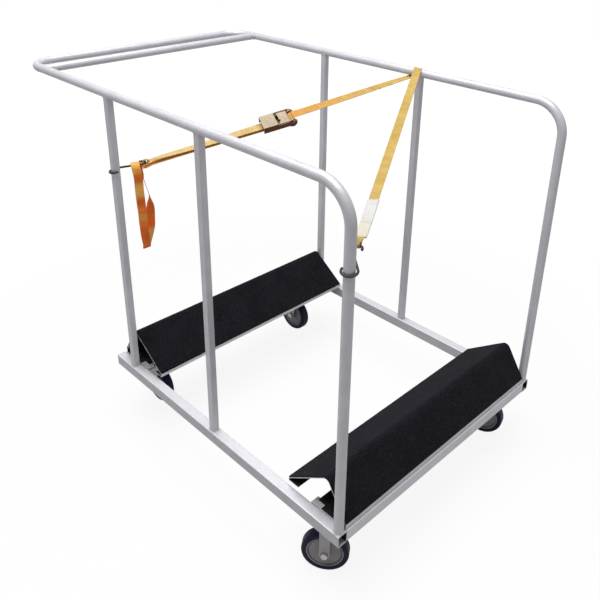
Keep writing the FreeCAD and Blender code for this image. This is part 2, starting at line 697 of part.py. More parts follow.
SWIVEL_LEG = (
    ("crown_front", CROWN_Z), ("crown_front", CROWN_Z + " - leg_shoulder"),
    ("leg_end - trail", CROWN_Z + " - leg_shoulder - leg_flare"), ("leg_end - trail", AXLE_Z),
    ("-trail - leg_end", AXLE_Z), ("-crown_back", CROWN_Z),
)
FIXED_LEG = (
    ("fixed_leg_half", PLATE_Z), ("leg_end", AXLE_Z), ("-leg_end", AXLE_Z),
    ("-fixed_leg_half", PLATE_Z),
)
pads = []
bolts = []
for side, sign in SIDES:
    # swivel castor at the +X end
    at = ("%s - swivel_inset" % RAIL_X1,
          "%d * (%s + rail_width / 2 - swivel_side)" % (sign, SIDE), "0")
    turn = Rotation(Vector(0, 0, 1), num(side + "_turn"))
    still = Rotation()
    name = side + "_front_"
    race = rod("race_radius", "race_depth", "0", "0", RACE_Z)
    plate = cut(plate_with_holes(race), rod("king_radius + run_gap", "castor_height", "0", "0",
                                            "castor_height / 2"))
    node(name + "top_plate", seat(plate, *at, still))
    pin = fuse(rod("king_radius", "castor_height - %s + race_gap" % FORK_Z, "0", "0",
                   FORK_Z + " - race_gap"),
               rod("king_head", "king_head_height", "0", "0",
                   FORK_Z + " - race_gap - king_head_height"))
    node(name + "king_pin", seat(pin, *at, still))
    ring = cut(rod("ring_outer", "ring_thickness", "0", "0", CROWN_Z),
               rod("ring_inner", "ring_thickness + 2", "0", "0", CROWN_Z + " - 1"))
    node(name + "thrust_ring", seat(ring, *at, turn))
    crown = box("-crown_back", "crown_front", "-%s" % LEG_OUT, LEG_OUT, FORK_Z, CROWN_Z)
    disc = rod("race_radius", "crown_thickness", "0", "0", FORK_Z)
    fork = cut(fuse(crown, disc, *leg_pair(SWIVEL_LEG, "-trail")), axle_hole("-trail"),
               rod("king_radius + run_gap", "crown_thickness + 2", "0", "0", FORK_Z + " - 1"))
    node(name + "fork", seat(fork, *at, turn))
    node(name + "axle", seat(axle_set("-trail"), *at, turn))
    node(name + "hub", seat(wheel_piece(HUB_OUTLINE, "-trail"), *at, turn))
    node(name + "tyre", seat(wheel_piece(TYRE_OUTLINE, "-trail"), *at, turn))
    # fixed castor at the handle end
    low = ("%s + fixed_inset" % RAIL_X0,
           "%d * (%s + rail_width / 2 - fixed_side)" % (sign, SIDE), "0")
    name = side + "_rear_"
    fork = cut(plate_with_holes(*leg_pair(FIXED_LEG, "0")), axle_hole("0"))
    node(name + "fixed_fork", seat(fork, *low, still))
    node(name + "axle", seat(axle_set("0"), *low, still))
    node(name + "hub", seat(wheel_piece(HUB_OUTLINE, "0"), *low, still))
    node(name + "tyre", seat(wheel_piece(TYRE_OUTLINE, "0"), *low, still))
    # mounting pads welded under the rail corners and the bolts that hold the castors
    edge = "(%s + rail_width / 2)" % SIDE
    for spot, x0, x1, width in (
            (at, RAIL_X1 + " - front_pad_length", RAIL_X1 + " - pad_setback", "front_pad_width"),
            (low, RAIL_X0, RAIL_X0 + " + rear_pad_length", "rear_pad_width")):
        y0, y1 = "%s - %s" % (edge, width), "%s - pad_setback" % edge
        if sign < 0:
            y0, y1 = "pad_setback - %s" % edge, "%s - %s" % (width, edge)
        holes = []
        for i, j in BOLTS:
            x = "%s + %d * bolt_pitch_long / 2" % (spot[0], i)
            y = "%s + %d * bolt_pitch_wide / 2" % (spot[1], j)
            holes.append(rod("bolt_radius + bolt_gap", "pad_thickness + 2", x, y,
                             "castor_height - 1"))
            shank = rod("bolt_radius", "plate_thickness + pad_thickness", x, y, PLATE_Z)
            head = hexagon("bolt_head_radius", "bolt_head", x, y, PLATE_Z + " - bolt_head")
            bolts.append(fuse(shank, head))
        pads.append(cut(box(x0, x1, y0, y1, "castor_height", RAIL_Z), *holes))
node("castor_pads", group(*pads))
node("castor_bolts", group(*bolts))


# Strap. Each run lies between fixed places on the frame; the route points stay as chosen.
def ribbon(sections):
    """Flat band through sections given as centre, half width and half thickness vectors."""
    wires = []
    for centre, wide, thick in sections:
        loop = [centre + wide + thick, centre - wide + thick, centre - wide - thick,
                centre + wide - thick]
        wires.append(Part.makePolygon(loop + loop[:1]))
    return Part.makeLoft(wires, True, True)


def band_loop(centre, axis, inner, outer, width):
    """Sewn loop of webbing round a wire or pin."""
    start = centre - axis * (width / 2)
    return Part.makeCylinder(outer, width, start, axis).cut(
        Part.makeCylinder(inner, width + 2, start - axis, axis))


def hook_shape(centre, along, across):
    """S hook: open throat round a post, straight spine, eye for the webbing loop."""
    throat, eye, reach, wire = num("hook_throat"), num("hook_eye"), num("hook_length"), num("hook_wire")
    beta = math.degrees(math.acos((throat + eye) / reach))

    def spot(middle, radius, angle):
        angle = math.radians(angle)
        return (centre + along * (middle + radius * math.cos(angle))
                + across * (radius * math.sin(angle)))

    lower = [spot(0, throat, -70), spot(0, throat, 180), spot(0, throat, beta)]
    upper = [spot(reach, eye, 180 + beta), spot(reach, eye, 330), spot(reach, eye, 465)]
    path = Part.Wire([Part.Arc(*lower).toShape(), Part.makeLine(lower[2], upper[0]),
                      Part.Arc(*upper).toShape()])
    first = path.Edges[0]
    tangent = first.tangentAt(first.FirstParameter)
    start = first.valueAt(first.FirstParameter)
    section = Part.Wire([Part.makeCircle(wire, start, tangent)])
    return path.makePipeShell([section], True, True)


wide, thin = num("web_width") / 2, num("web_thickness") / 2
loop_in = num("hook_loop")
loop_out = loop_in + 2 * thin
loop_seat = num("hook_length") + num("hook_loop_seat") - num("hook_loop") + loop_in
tube_axis = Vector(0, num(SIDE), num(TUBE_Z))
wrap_radius = num("tube_od / 2 + wrap_gap") + thin
ANGLES = [math.radians(-13 + 178.0 * step / 16) for step in range(17)]
WRAP_X = (195.9, 174.4)


def wrap_place(angle):
    """Centre of the webbing on the far tube, with its outward direction."""
    share = (angle - ANGLES[0]) / (ANGLES[-1] - ANGLES[0])
    outward = Vector(0, math.sin(angle), math.cos(angle))
    x = WRAP_X[0] + share * (WRAP_X[1] - WRAP_X[0])
    return Vector(x, tube_axis.y, tube_axis.z) + outward * wrap_radius, outward


front_post = Vector(num(END_X), -num(SIDE), num(TOP_Z) + num("front_hook_height"))
lead_on, lead_out = wrap_place(ANGLES[0])
front_dir = (lead_on - front_post).normalize()
front_across = Vector(-front_dir.y, front_dir.x, 0).normalize() * -1.0
front_seat = num("hook_throat - hook_wire - tube_od / 2 - hook_gap")
front_eye = front_post + front_dir * front_seat
solid("front_hook", hook_shape(front_eye, front_dir, front_across))
# The webbing lies flat on the far tube, so its plane holds the tube's direction.
web_across = (Vector(1, 0, 0) - front_dir * front_dir.x).normalize()
web_up = web_across.cross(front_dir).normalize()
skew = wide / web_across.x
taper = num("web_taper")
eye_end = front_eye + front_dir * (loop_seat + loop_in + 0.2)
narrow = num("hook_loop_width") / 2
run = ribbon([
    (eye_end, web_across * narrow, web_up * thin),
    (eye_end + front_dir * taper, web_across * wide, web_up * thin),
])
run = run.fuse(ribbon([
    (eye_end + front_dir * taper, web_across * wide, web_up * thin),
    (lead_on, Vector(skew, 0, 0), web_up * thin),
]))
run = run.fuse(band_loop(front_eye + front_dir * loop_seat, web_across, loop_in, loop_out,
                         2 * narrow))
solid("strap_front_run", run.removeSplitter())
rear_post = Vector(num(REAR_POST_X), -num(SIDE), num(TOP_Z) + num("rear_hook_height"))
SPOOL = Vector(num("spool_x"), num("spool_y"), num("spool_z"))
local_x = (rear_post - SPOOL).normalize()
level_y = Vector(-local_x.y, local_x.x, 0).normalize()
level_z = local_x.cross(level_y)
roll = math.radians(num("ratchet_roll"))
local_y = level_y * math.cos(roll) - level_z * math.sin(roll)
local_z = local_x.cross(local_y)
sleeve_at = Placement(Matrix(front_dir.x, -web_across.x, web_up.x, front_eye.x,
                             front_dir.y, -web_across.y, web_up.y, front_eye.y,
                             front_dir.z, -web_across.z, web_up.z, front_eye.z,
                             0, 0, 0, 1))
gap = "web_width / 2 + sleeve_gap"
rise = "web_thickness / 2 + sleeve_gap"
cover = box("sleeve_start", "sleeve_start + sleeve_length", "-(%s) - sleeve_thickness" % gap,
            gap + " + sleeve_thickness", "-(%s) - sleeve_thickness" % rise,
            rise + " + sleeve_thickness")
hollow = box("sleeve_start - 1", "sleeve_start + sleeve_length + 1", "-(%s)" % gap, gap,
             "-(%s)" % rise, rise)
sleeve = cut(cover, hollow)
sleeve.Placement = sleeve_at
node("strap_sleeve", sleeve)

sections = []
for angle in ANGLES:
    centre, outward = wrap_place(angle)
    sections.append((centre, Vector(skew, 0, 0), outward * thin))
solid("strap_tube_wrap", ribbon(sections))

lead_off, off_out = wrap_place(ANGLES[-1])
coil_z = num("coil_radius") + 0.4 + thin
coil_head = SPOOL + local_z * coil_z
reach_on = coil_head - local_x * 60
TWIST_STEPS = 6
sections = []
for step in range(TWIST_STEPS + 1):
    share = step / TWIST_STEPS
    half = Vector(skew, 0, 0) * (1 - share) + local_y * (wide * share)
    face = (off_out * (share - 1) + local_z * share).normalize()
    sections.append((lead_off + (reach_on - lead_off) * share, half, face * thin))
sections.append((coil_head, local_y * wide, local_z * thin))
solid("strap_rear_run", ribbon(sections))


def rolled(share):
    """Half width and half thickness of the webbing, from level at the hook to rolled."""
    angle = roll * share
    half = level_y * math.cos(angle) - level_z * math.sin(angle)
    return half * wide, local_x.cross(half) * thin


def twisted(start, end):
    """Webbing that rolls from level at its start to the ratchet's lean at its end."""
    found = []
    for step in range(TWIST_STEPS + 1):
        share = step / TWIST_STEPS
        found.append((start + (end - start) * share,) + rolled(share))
    return ribbon(found)



anchor = SPOOL + local_x * num("ratchet_reach")
hook_dir = local_x * -1.0
corner_reach = num("(post_size / 2 - post_corner) * sqrt(2) + post_corner")
rear_seat = num("hook_throat - hook_wire - hook_gap") - corner_reach
rear_eye = rear_post + hook_dir * rear_seat
solid("rear_hook", hook_shape(rear_eye, hook_dir, level_y * -1.0))
pin_loop = num("pin_radius") + 0.3
near_eye = rear_eye + hook_dir * (loop_seat + loop_in + 0.2)
fixed = ribbon([
    (near_eye, level_y * narrow, level_z * thin),
    (near_eye + hook_dir * taper, level_y * wide, level_z * thin),
])
pin_lead = anchor + local_x * num("pin_lead")
fixed = fixed.fuse(twisted(near_eye + hook_dir * taper, pin_lead))
fixed = fixed.fuse(ribbon([
    (pin_lead, local_y * wide, local_z * thin),
    (anchor + local_x * (pin_loop + 0.5), local_y * wide, local_z * thin),
]))
fixed = fixed.fuse(band_loop(rear_eye + hook_dir * loop_seat, level_y, loop_in, loop_out,
                             2 * narrow))
fixed = fixed.fuse(band_loop(anchor, local_y, pin_loop, pin_loop + 2 * thin, 2 * wide))
solid("strap_fixed_run", fixed.removeSplitter())

# Tail: a second layer under the fixed run, then a hanging loop over the rear hook's spine.
drop = num("base_round - base_sheet - web_rest") - thin
tail_end = rear_eye + hook_dir * num("hook_length") - level_z * drop
floor_from = SPOOL + local_x * 14 - local_z * drop
floor_to = SPOOL + local_x * num("ratchet_reach + base_end") - local_z * drop
tail = ribbon([
    (floor_from, local_y * wide, local_z * thin),
    (floor_to, local_y * wide, local_z * thin),
]).fuse(twisted(tail_end, floor_to)).removeSplitter()
level = Vector(hook_dir.x, hook_dir.y, 0).normalize()
hang = rear_eye + hook_dir * num("tail_hang")
depth = num("tail_loop_drop")
LOOP = ((-5.0, 8.2), (5.0, 9.9), (14.0, 8.9), (18.5, 0.0), (20.0, -65.0), (18.5, -140.0),
        (15.0, -225.0), (9.5, -depth), (2.0, -246.0), (-11.0, -200.0), (-13.5, -145.0),
        (-9.5, -70.0), (-9.0, 0.0))


def loop_wire(grow):
    """Closed outline of the hanging loop, moved outward by a distance."""
    curve = Part.BSplineCurve()
    flat = []
    count = len(LOOP)
    for index, (across, up) in enumerate(LOOP):
        before, after = LOOP[index - 1], LOOP[(index + 1) % count]
        step = Vector(after[0] - before[0], after[1] - before[1], 0).normalize()
        side = Vector(-step.y, step.x, 0)
        flat.append((across + side.x * grow, up + side.y * grow))
    curve.interpolate([hang + level_y * a + Vector(0, 0, b) for a, b in flat], PeriodicFlag=True)
    return Part.Wire([curve.toShape()])


band = Part.Face(loop_wire(thin)).cut(Part.Face(loop_wire(-thin))).Faces[0]
solid("strap_tail", Part.makeCompound([tail, band.extrude(level * (2 * wide))]))

# Ratchet: drawn about its spool axis, x toward the rear hook, z up.
ratchet_at = Placement(Matrix(local_x.x, local_y.x, local_z.x, SPOOL.x,
                              local_x.y, local_y.y, local_z.y, SPOOL.y,
                              local_x.z, local_y.z, local_z.z, SPOOL.z,
                              0, 0, 0, 1))


def ratchet_node(name, obj):
    """Ratchet piece moved from its own frame to the strap."""
    obj.Placement = ratchet_at
    return node(name, obj)


def side_pair(inner, sheet_size, maker):
    """Same plate on both sides of the ratchet."""
    found = []
    for sign in (-1, 1):
        low = inner if sign > 0 else "-%s - %s" % (inner, sheet_size)
        found.extend(maker(low, "%s + %s" % (low, sheet_size)))
    return found


def base_side(y0, y1):
    """Side plate of the base, round about the spool."""
    return [box("0", "ratchet_reach + base_end", y0, y1, "-base_round", "base_top"),
            rod("base_round", "base_sheet", "0", y0, "0", ALONG_Y)]


floor = box("floor_start", "floor_end", "-base_inner - base_sheet", "base_inner + base_sheet",
            "-base_round", "base_sheet - base_round")
base = fuse(floor, *side_pair("base_inner", "base_sheet", base_side))
across_all = ("-spool_half", "2 * spool_half")
lock_slot = box("lock_start - pawl_gap", "lock_end + pawl_travel + pawl_gap", "-spool_half",
                "spool_half", "-lock_level - pawl_gap", "lock_sheet - lock_level + pawl_gap")
ratchet_node("ratchet_base", cut(
    base, lock_slot,
    rod("spool_radius + run_gap", across_all[1], "0", across_all[0], "0", ALONG_Y),
    rod("pin_radius + run_gap", across_all[1], "ratchet_reach", across_all[0], "0", ALONG_Y)))

pin_half = "(base_inner + base_sheet)"
ratchet_node("ratchet_anchor_pin", fuse(
    rod("pin_radius", "2 * %s" % pin_half, "ratchet_reach", "-%s" % pin_half, "0", ALONG_Y),
    rod("pin_head", "pin_head_width", "ratchet_reach", pin_half, "0", ALONG_Y),
    rod("pin_head", "pin_head_width", "ratchet_reach", "-%s - pin_head_width" % pin_half, "0",
        ALONG_Y)))

spool = fuse(
    rod("spool_radius", "2 * spool_half", "0", "-spool_half", "0", ALONG_Y),
    rod("spool_head", "spool_head_width", "0", "spool_half - spool_head_width", "0", ALONG_Y),
    rod("spool_head", "spool_head_width", "0", "-spool_half", "0", ALONG_Y))
ratchet_node("ratchet_spool", cut(spool, box(
    "-spool_radius - 1", "spool_radius + 1", "1 - base_inner", "base_inner - 1",
    "-spool_slot / 2", "spool_slot / 2")))
ratchet_node("ratchet_webbing_coil", cut(
    rod("coil_radius", "web_width", "0", "-web_width / 2", "0", ALONG_Y),
    rod("spool_radius + run_gap", "web_width + 2", "0", "-web_width / 2 - 1", "0", ALONG_Y)))

gears = side_pair("gear_inner", "gear_width",
                  lambda y0, y1: [rod("gear_radius", "gear_width", "0", y0, "0", ALONG_Y)])
notches = []
TEETH = 13
for tooth in range(TEETH):
    notch = box("gear_radius - tooth_depth", "gear_radius + 2", "-spool_half", "spool_half",
                "-tooth_depth / 2", "tooth_depth / 2")
    turn = group(notch)
    turn.Placement = Placement(Vector(), Rotation(Vector(0, 1, 0), 360.0 * (tooth + 0.5) / TEETH))
    notches.append(turn)
ratchet_node("ratchet_wheels", cut(
    group(*gears), *notches,
    rod("spool_radius + run_gap", across_all[1], "0", across_all[0], "0", ALONG_Y)))


def lever_side(y0, y1):
    """Side plate of the handle, round about the spool."""
    return [box("0", "lever_length", y0, y1, "-lever_bottom", "lever_top"),
            rod("base_round", "lever_sheet", "0", y0, "0", ALONG_Y)]


lever_half = "(lever_inner + lever_sheet)"
grip = box("grip_start", "lever_length", "-%s" % lever_half, lever_half, "lever_top - grip_sheet",
           "lever_top")
lever = fuse(grip, *side_pair("lever_inner", "lever_sheet", lever_side))
drive_slot = box("pawl_start - pawl_gap", "pawl_end + pawl_travel + pawl_gap", "-spool_half - 2",
                 "spool_half + 2", "pawl_level - pawl_gap", "pawl_level + pawl_sheet + pawl_gap")
ratchet_node("ratchet_handle", cut(
    lever, drive_slot,
    rod("spool_radius + run_gap", across_all[1], "0", across_all[0], "0", ALONG_Y)))
ratchet_node("ratchet_drive_pawl", fuse(
    box("pawl_start", "pawl_end", "-pawl_half", "pawl_half", "pawl_level",
        "pawl_level + pawl_sheet"),
    box("pawl_end - pawl_tab", "pawl_end", "-pawl_tab_half", "pawl_tab_half", "pawl_level",
        "pawl_level + pawl_tab_height")))
ratchet_node("ratchet_lock_pawl", group(box(
    "lock_start", "lock_end", "-lock_half", "lock_half", "-lock_level",
    "lock_sheet - lock_level")))

doc.recompute()
for obj in doc.Objects:
    if "Invalid" in obj.State or "Error" in obj.State:
        raise RuntimeError("failed feature: %s" % obj.Name)
for name, obj in NODES.items():
    if obj.Shape.isNull() or not obj.Shape.isValid() or obj.Shape.Volume <= 0:
        raise RuntimeError("bad shape: %s" % name)

os.makedirs("parts", exist_ok=True)
for name, obj in NODES.items():
    obj.Shape.exportStep("parts/%s.step" % name)
print("nodes written:", len(NODES))
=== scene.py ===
"""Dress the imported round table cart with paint, carpet, rubber, zinc and webbing."""
from __future__ import annotations

import json
import logging
import math
from collections.abc import Callable
from dataclasses import dataclass, field
from enum import Enum

import bpy
from mathutils import Matrix, Vector

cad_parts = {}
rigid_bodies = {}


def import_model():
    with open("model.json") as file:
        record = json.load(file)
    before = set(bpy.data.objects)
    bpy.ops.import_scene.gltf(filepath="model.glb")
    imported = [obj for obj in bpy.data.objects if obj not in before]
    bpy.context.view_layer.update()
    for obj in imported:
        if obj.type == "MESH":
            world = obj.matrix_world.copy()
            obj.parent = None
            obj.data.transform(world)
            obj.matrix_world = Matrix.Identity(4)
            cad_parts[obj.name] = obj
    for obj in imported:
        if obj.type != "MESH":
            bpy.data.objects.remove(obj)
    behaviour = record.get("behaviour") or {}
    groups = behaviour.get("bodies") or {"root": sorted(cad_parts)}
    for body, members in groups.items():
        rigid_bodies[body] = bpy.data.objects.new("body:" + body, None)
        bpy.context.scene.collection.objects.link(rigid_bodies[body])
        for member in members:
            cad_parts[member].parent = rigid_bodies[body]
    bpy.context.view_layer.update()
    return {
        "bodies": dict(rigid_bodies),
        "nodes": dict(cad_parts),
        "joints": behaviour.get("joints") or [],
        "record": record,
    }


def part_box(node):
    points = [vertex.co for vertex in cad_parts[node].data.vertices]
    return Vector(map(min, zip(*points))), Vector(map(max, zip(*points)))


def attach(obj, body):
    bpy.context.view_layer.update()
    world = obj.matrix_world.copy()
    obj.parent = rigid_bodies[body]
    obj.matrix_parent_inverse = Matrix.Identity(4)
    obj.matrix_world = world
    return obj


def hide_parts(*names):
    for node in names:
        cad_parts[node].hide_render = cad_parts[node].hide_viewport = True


LOG = logging.getLogger("round_table_cart")
MM = 0.001
Colour = tuple[float, float, float]
Pair = tuple[float, float]
Points = list[Vector]
Piece = bpy.types.Object
Node = bpy.types.Node
Socket = bpy.types.NodeSocket
Sockets = dict[str, Socket]
NOISE_RANGE: Pair = (0.3, 0.7)


class Axis(Enum):
    """World axis that a rail runs along."""

    X = 0
    Y = 1


class Lay(Enum):
    """Direction across the hanging tail: shares of the level run and of the strap's side."""

    FLAT = (1.0, 0.0)
    EDGE = (0.0, 1.0)
    LEAN = (1.0, 0.7)
    FOLD = (1.0, -0.45)


class Wiring:
    """Places and joins shader nodes in one tree."""

    def __init__(self, tree: bpy.types.NodeTree) -> None:
        """Keep the tree that the nodes go into."""
        self.tree = tree

    def add(self, kind: str, *values: object, **settings: object) -> Node:
        """Add a node.

        Args:
            kind: Blender's node type name.
            values: Values or sockets for its first inputs, in order.
            settings: Properties to set on the node.

        Returns:
            The new node.
        """
        node = self.tree.nodes.new(kind)
        for key, value in settings.items():
            setattr(node, key, value)
        for socket, value in zip(node.inputs, values):
            self.feed(socket, value)
        return node

    def feed(self, socket: Socket, value: object) -> None:
        """Link a socket, or set a plain value on it.

        Args:
            socket: Input socket.
            value: Output socket, number, vector or colour.
        """
        if isinstance(value, Socket):
            self.tree.links.new(value, socket)
        elif socket.type == "RGBA":
            socket.default_value = (*value, 1.0)
        else:
            socket.default_value = value

    def fit(self, node: Node, **values: object) -> Node:
        """Feed a node's inputs by name.

        Args:
            node: The node.
            values: Values or sockets by input name, with _ for a space.

        Returns:
            The node.
        """
        for label, value in values.items():
            self.feed(node.inputs[label.replace("_", " ")], value)
        return node

    def sum(self, kind: str, first: object, second: object = 0.0) -> Socket:
        """Math node on two values or sockets."""
        return self.add("ShaderNodeMath", first, second, operation=kind).outputs[0]

    def times(self, first: object, second: object) -> Socket:
        """Product of two values or sockets."""
        return self.sum("MULTIPLY", first, second)

    def off(self, value: object, origin: float) -> Socket:
        """Distance of a value from an origin."""
        return self.sum("ABSOLUTE", self.sum("SUBTRACT", value, origin))

    def dot(self, first: object, second: object) -> Socket:
        """Dot product of two vectors."""
        return self.add("ShaderNodeVectorMath", first, second, operation="DOT_PRODUCT").outputs["Value"]

    def band(self, value: object, low: float, high: float, start: float = 0.0,
             end: float = 1.0) -> Socket:
        """Map the range from low to high onto start to end, clamped."""
        return self.add("ShaderNodeMapRange", value, low, high, start, end, clamp=True).outputs[0]

    def noise(self, place: object, scale: object, detail: float = 2.0, rough: float = 0.5) -> Socket:
        """Noise texture.

        Args:
            place: Vector socket.
            scale: Cells per metre.
            detail: Octaves.
            rough: Share of each finer octave.

        Returns:
            The factor socket.
        """
        node = self.add("ShaderNodeTexNoise")
        return self.fit(node, Vector=place, Scale=scale, Detail=detail, Roughness=rough).outputs[0]

    def stretch(self, place: object, scale: Colour) -> Socket:
        """Scale a vector along its axes."""
        return self.fit(self.add("ShaderNodeMapping"), Vector=place, Scale=scale).outputs[0]

    def split(self, vector: object) -> list[Socket]:
        """X, y and z of a vector."""
        return list(self.add("ShaderNodeSeparateXYZ", vector).outputs)

    def coords(self, kind: str) -> Socket:
        """One kind of the surface's own coordinates."""
        return self.add("ShaderNodeTexCoord").outputs[kind]

    def blend(self, share: object, first: object, second: object) -> Socket:
        """Mix two colours.

        Args:
            share: Part of the second colour.
            first: Colour or socket.
            second: Colour or socket.

        Returns:
            The colour socket.
        """
        node = self.add("ShaderNodeMix", share, data_type="RGBA")
        self.feed(node.inputs[6], first)
        self.feed(node.inputs[7], second)
        return node.outputs[2]

    def cover(self, coat: object, mask: Socket, share: float, colour: Colour) -> Socket:
        """Lay a share of a colour over a coat where a mask is."""
        return self.blend(self.times(mask, share), coat, colour)

    def surround(self, gloss: float) -> Socket:
        """Share of a ray that sees the plain white surround.

        Args:
            gloss: Share for reflected rays.

        Returns:
            The share.
        """
        rays = self.add("ShaderNodeLightPath").outputs
        seen = self.sum("MAXIMUM", rays["Is Camera Ray"], rays["Is Transmission Ray"])
        return self.sum("MAXIMUM", seen, self.times(rays["Is Glossy Ray"], gloss))


class Coat(Wiring):
    """Wiring of one material, with its shader and its object coordinates."""

    def __init__(self, name: str) -> None:
        """Make an empty material.

        Args:
            name: The material's name.
        """
        self.material = bpy.data.materials.new(name)
        self.material.use_nodes = True
        super().__init__(self.material.node_tree)
        self.shader = self.tree.nodes["Principled BSDF"]
        self.place = self.coords("Object")

    def finish(self, **values: object) -> None:
        """Feed the shader's inputs by name, with _ for a space."""
        self.fit(self.shader, **values)

    def gloss(self, value: Socket, rough: float, spread: Pair) -> Socket:
        """Spread a roughness by a noise."""
        return self.band(value, *NOISE_RANGE, rough + spread[0], rough + spread[1])

    def relief(self, height: object, depth: float, soft: float = 0.0) -> None:
        """Drive the shader's normal from a height.

        Args:
            height: Height socket.
            depth: Relief in metres.
            soft: Radius of rounded edges in metres, or 0.
        """
        bump = self.fit(self.add("ShaderNodeBump"), Distance=depth, Height=height)
        if soft:
            round_edge = self.fit(self.add("ShaderNodeBevel", samples=4), Radius=soft)
            self.fit(bump, Normal=round_edge.outputs[0])
        self.finish(Normal=bump.outputs[0])


class Effect:
    """Surface effect kept as one shader group and placed in many materials."""

    name = "effect"
    inputs: dict[str, float] = {}
    outputs: tuple[str, ...] = ("Mask",)
    vector = True

    def wire(self, work: Wiring, given: Sockets) -> Sockets:
        """Build the inside of the group.

        Args:
            work: The group's wiring.
            given: Input sockets by name.

        Returns:
            Output sockets by name.
        """
        raise NotImplementedError

    def tree(self) -> bpy.types.NodeTree:
        """Fetch the group, built on its first use.

        Returns:
            The group's node tree.
        """
        found = bpy.data.node_groups.get(self.name)
        if found:
            return found
        tree = bpy.data.node_groups.new(self.name, "ShaderNodeTree")
        if self.vector:
            tree.interface.new_socket("Vector", in_out="INPUT", socket_type="NodeSocketVector")
        for label, value in self.inputs.items():
            socket = tree.interface.new_socket(label, in_out="INPUT", socket_type="NodeSocketFloat")
            socket.default_value = value
        for label in self.outputs:
            tree.interface.new_socket(label, in_out="OUTPUT", socket_type="NodeSocketFloat")
        work = Wiring(tree)
        entry = work.add("NodeGroupInput")
        leave = work.add("NodeGroupOutput")
        given = {socket.name: socket for socket in entry.outputs if socket.name}
        work.fit(leave, **self.wire(work, given))
        return tree

    def place(self, work: Wiring, vector: object = None, **values: float) -> Sockets:
        """Put the group into a material.

        Args:
            work: The material's wiring.
            vector: Coordinate socket where the effect reads one.
            values: Input values by name.

        Returns:
            Output sockets by name.
        """
        node = work.fit(work.add("ShaderNodeGroup", node_tree=self.tree()), **values)
        if vector is not None:
            work.fit(node, Vector=vector)
        return {socket.name: socket for socket in node.outputs}

    def mask(self, work: Coat, **values: float) -> Socket:
        """Mask of the effect on a material's object coordinates."""
        return self.place(work, work.place if self.vector else None, **values)["Mask"]


class PaintGrain(Effect):
    """Fine peel of sprayed paint with slow changes of tone and gloss."""

    name = "paint_grain"
    inputs = {"Peel": 900.0, "Mottle": 14.0}
    outputs = ("Tone", "Height", "Gloss")
    GLOSS_CELLS = 3.7

    def wire(self, work: Wiring, given: Sockets) -> Sockets:
        """Mix a fine and a slow noise.

        Args:
            work: The group's wiring.
            given: Input sockets by name.

        Returns:
            Output sockets by name.
        """
        fine = work.noise(given["Vector"], given["Peel"])
        slow = work.noise(given["Vector"], given["Mottle"], 4.0, 0.6)
        gloss = work.noise(given["Vector"], work.times(given["Mottle"], self.GLOSS_CELLS), 3.0)
        return {"Tone": work.band(slow, *NOISE_RANGE), "Height": fine, "Gloss": gloss}


class EdgeWear(Effect):
    """Mask of rubbed edges, broken up by noise."""

    name = "edge_wear"
    inputs = {"Radius": 0.0015, "Break": 160.0}
    TURN = (0.98, 0.80)
    SPOTS = (0.48, 0.62)

    def wire(self, work: Wiring, given: Sockets) -> Sockets:
        """Compare the rounded normal with the true one.

        Args:
            work: The group's wiring.
            given: Input sockets by name.

        Returns:
            Output sockets by name.
        """
        soft = work.fit(work.add("ShaderNodeBevel", samples=4), Radius=given["Radius"])
        sharp = work.add("ShaderNodeNewGeometry").outputs["Normal"]
        edge = work.band(work.dot(soft.outputs[0], sharp), *self.TURN)
        spots = work.band(work.noise(given["Vector"], given["Break"], 4.0, 0.7), *self.SPOTS)
        return {"Mask": work.times(edge, spots)}


class Dust(Effect):
    """Mask of settled dust on faces that look up."""

    name = "dust"
    inputs = {"Grain": 45.0}
    UPWARD = (0.2, 0.95)
    CLOUD = (0.42, 0.75)

    def wire(self, work: Wiring, given: Sockets) -> Sockets:
        """Take the upward share of the normal and break it with noise.

        Args:
            work: The group's wiring.
            given: Input sockets by name.

        Returns:
            Output sockets by name.
        """
        upward = work.band(work.split(work.coords("Normal"))[2], *self.UPWARD)
        cloud = work.band(work.noise(given["Vector"], given["Grain"], 5.0, 0.65), *self.CLOUD)
        return {"Mask": work.times(upward, cloud)}


class CreviceShade(Effect):
    """Mask of corners and hollows from near occlusion, used to paint shade there, with some dirt."""

    name = "crevice_shade"
    inputs = {"Reach": 0.012}
    vector = False
    NEAR = (0.72, 0.25)

    def wire(self, work: Wiring, given: Sockets) -> Sockets:
        """Turn the near occlusion round."""
        near = work.fit(work.add("ShaderNodeAmbientOcclusion", samples=6), Distance=given["Reach"])
        return {"Mask": work.band(near.outputs["AO"], *self.NEAR)}


class Scuffs(Effect):
    """Thin rubbed lines in three directions."""

    name = "scuffs"
    inputs = {"Density": 0.60}
    PEAK = (0.0, 0.08)
    STREAKS = ((30.0, 700.0, 700.0), (600.0, 40.0, 600.0), (500.0, 500.0, 26.0))

    def wire(self, work: Wiring, given: Sockets) -> Sockets:
        """Stretch noise into streaks and keep the peaks.

        Args:
            work: The group's wiring.
            given: Input sockets by name.

        Returns:
            Output sockets by name.
        """
        total: object = 0.0
        for scale in self.STREAKS:
            streak = work.noise(work.stretch(given["Vector"], scale), 1.0)
            peak = work.sum("SUBTRACT", streak, given["Density"])
            total = work.sum("ADD", total, work.band(peak, *self.PEAK))
        return {"Mask": work.sum("MINIMUM", total, 1.0)}


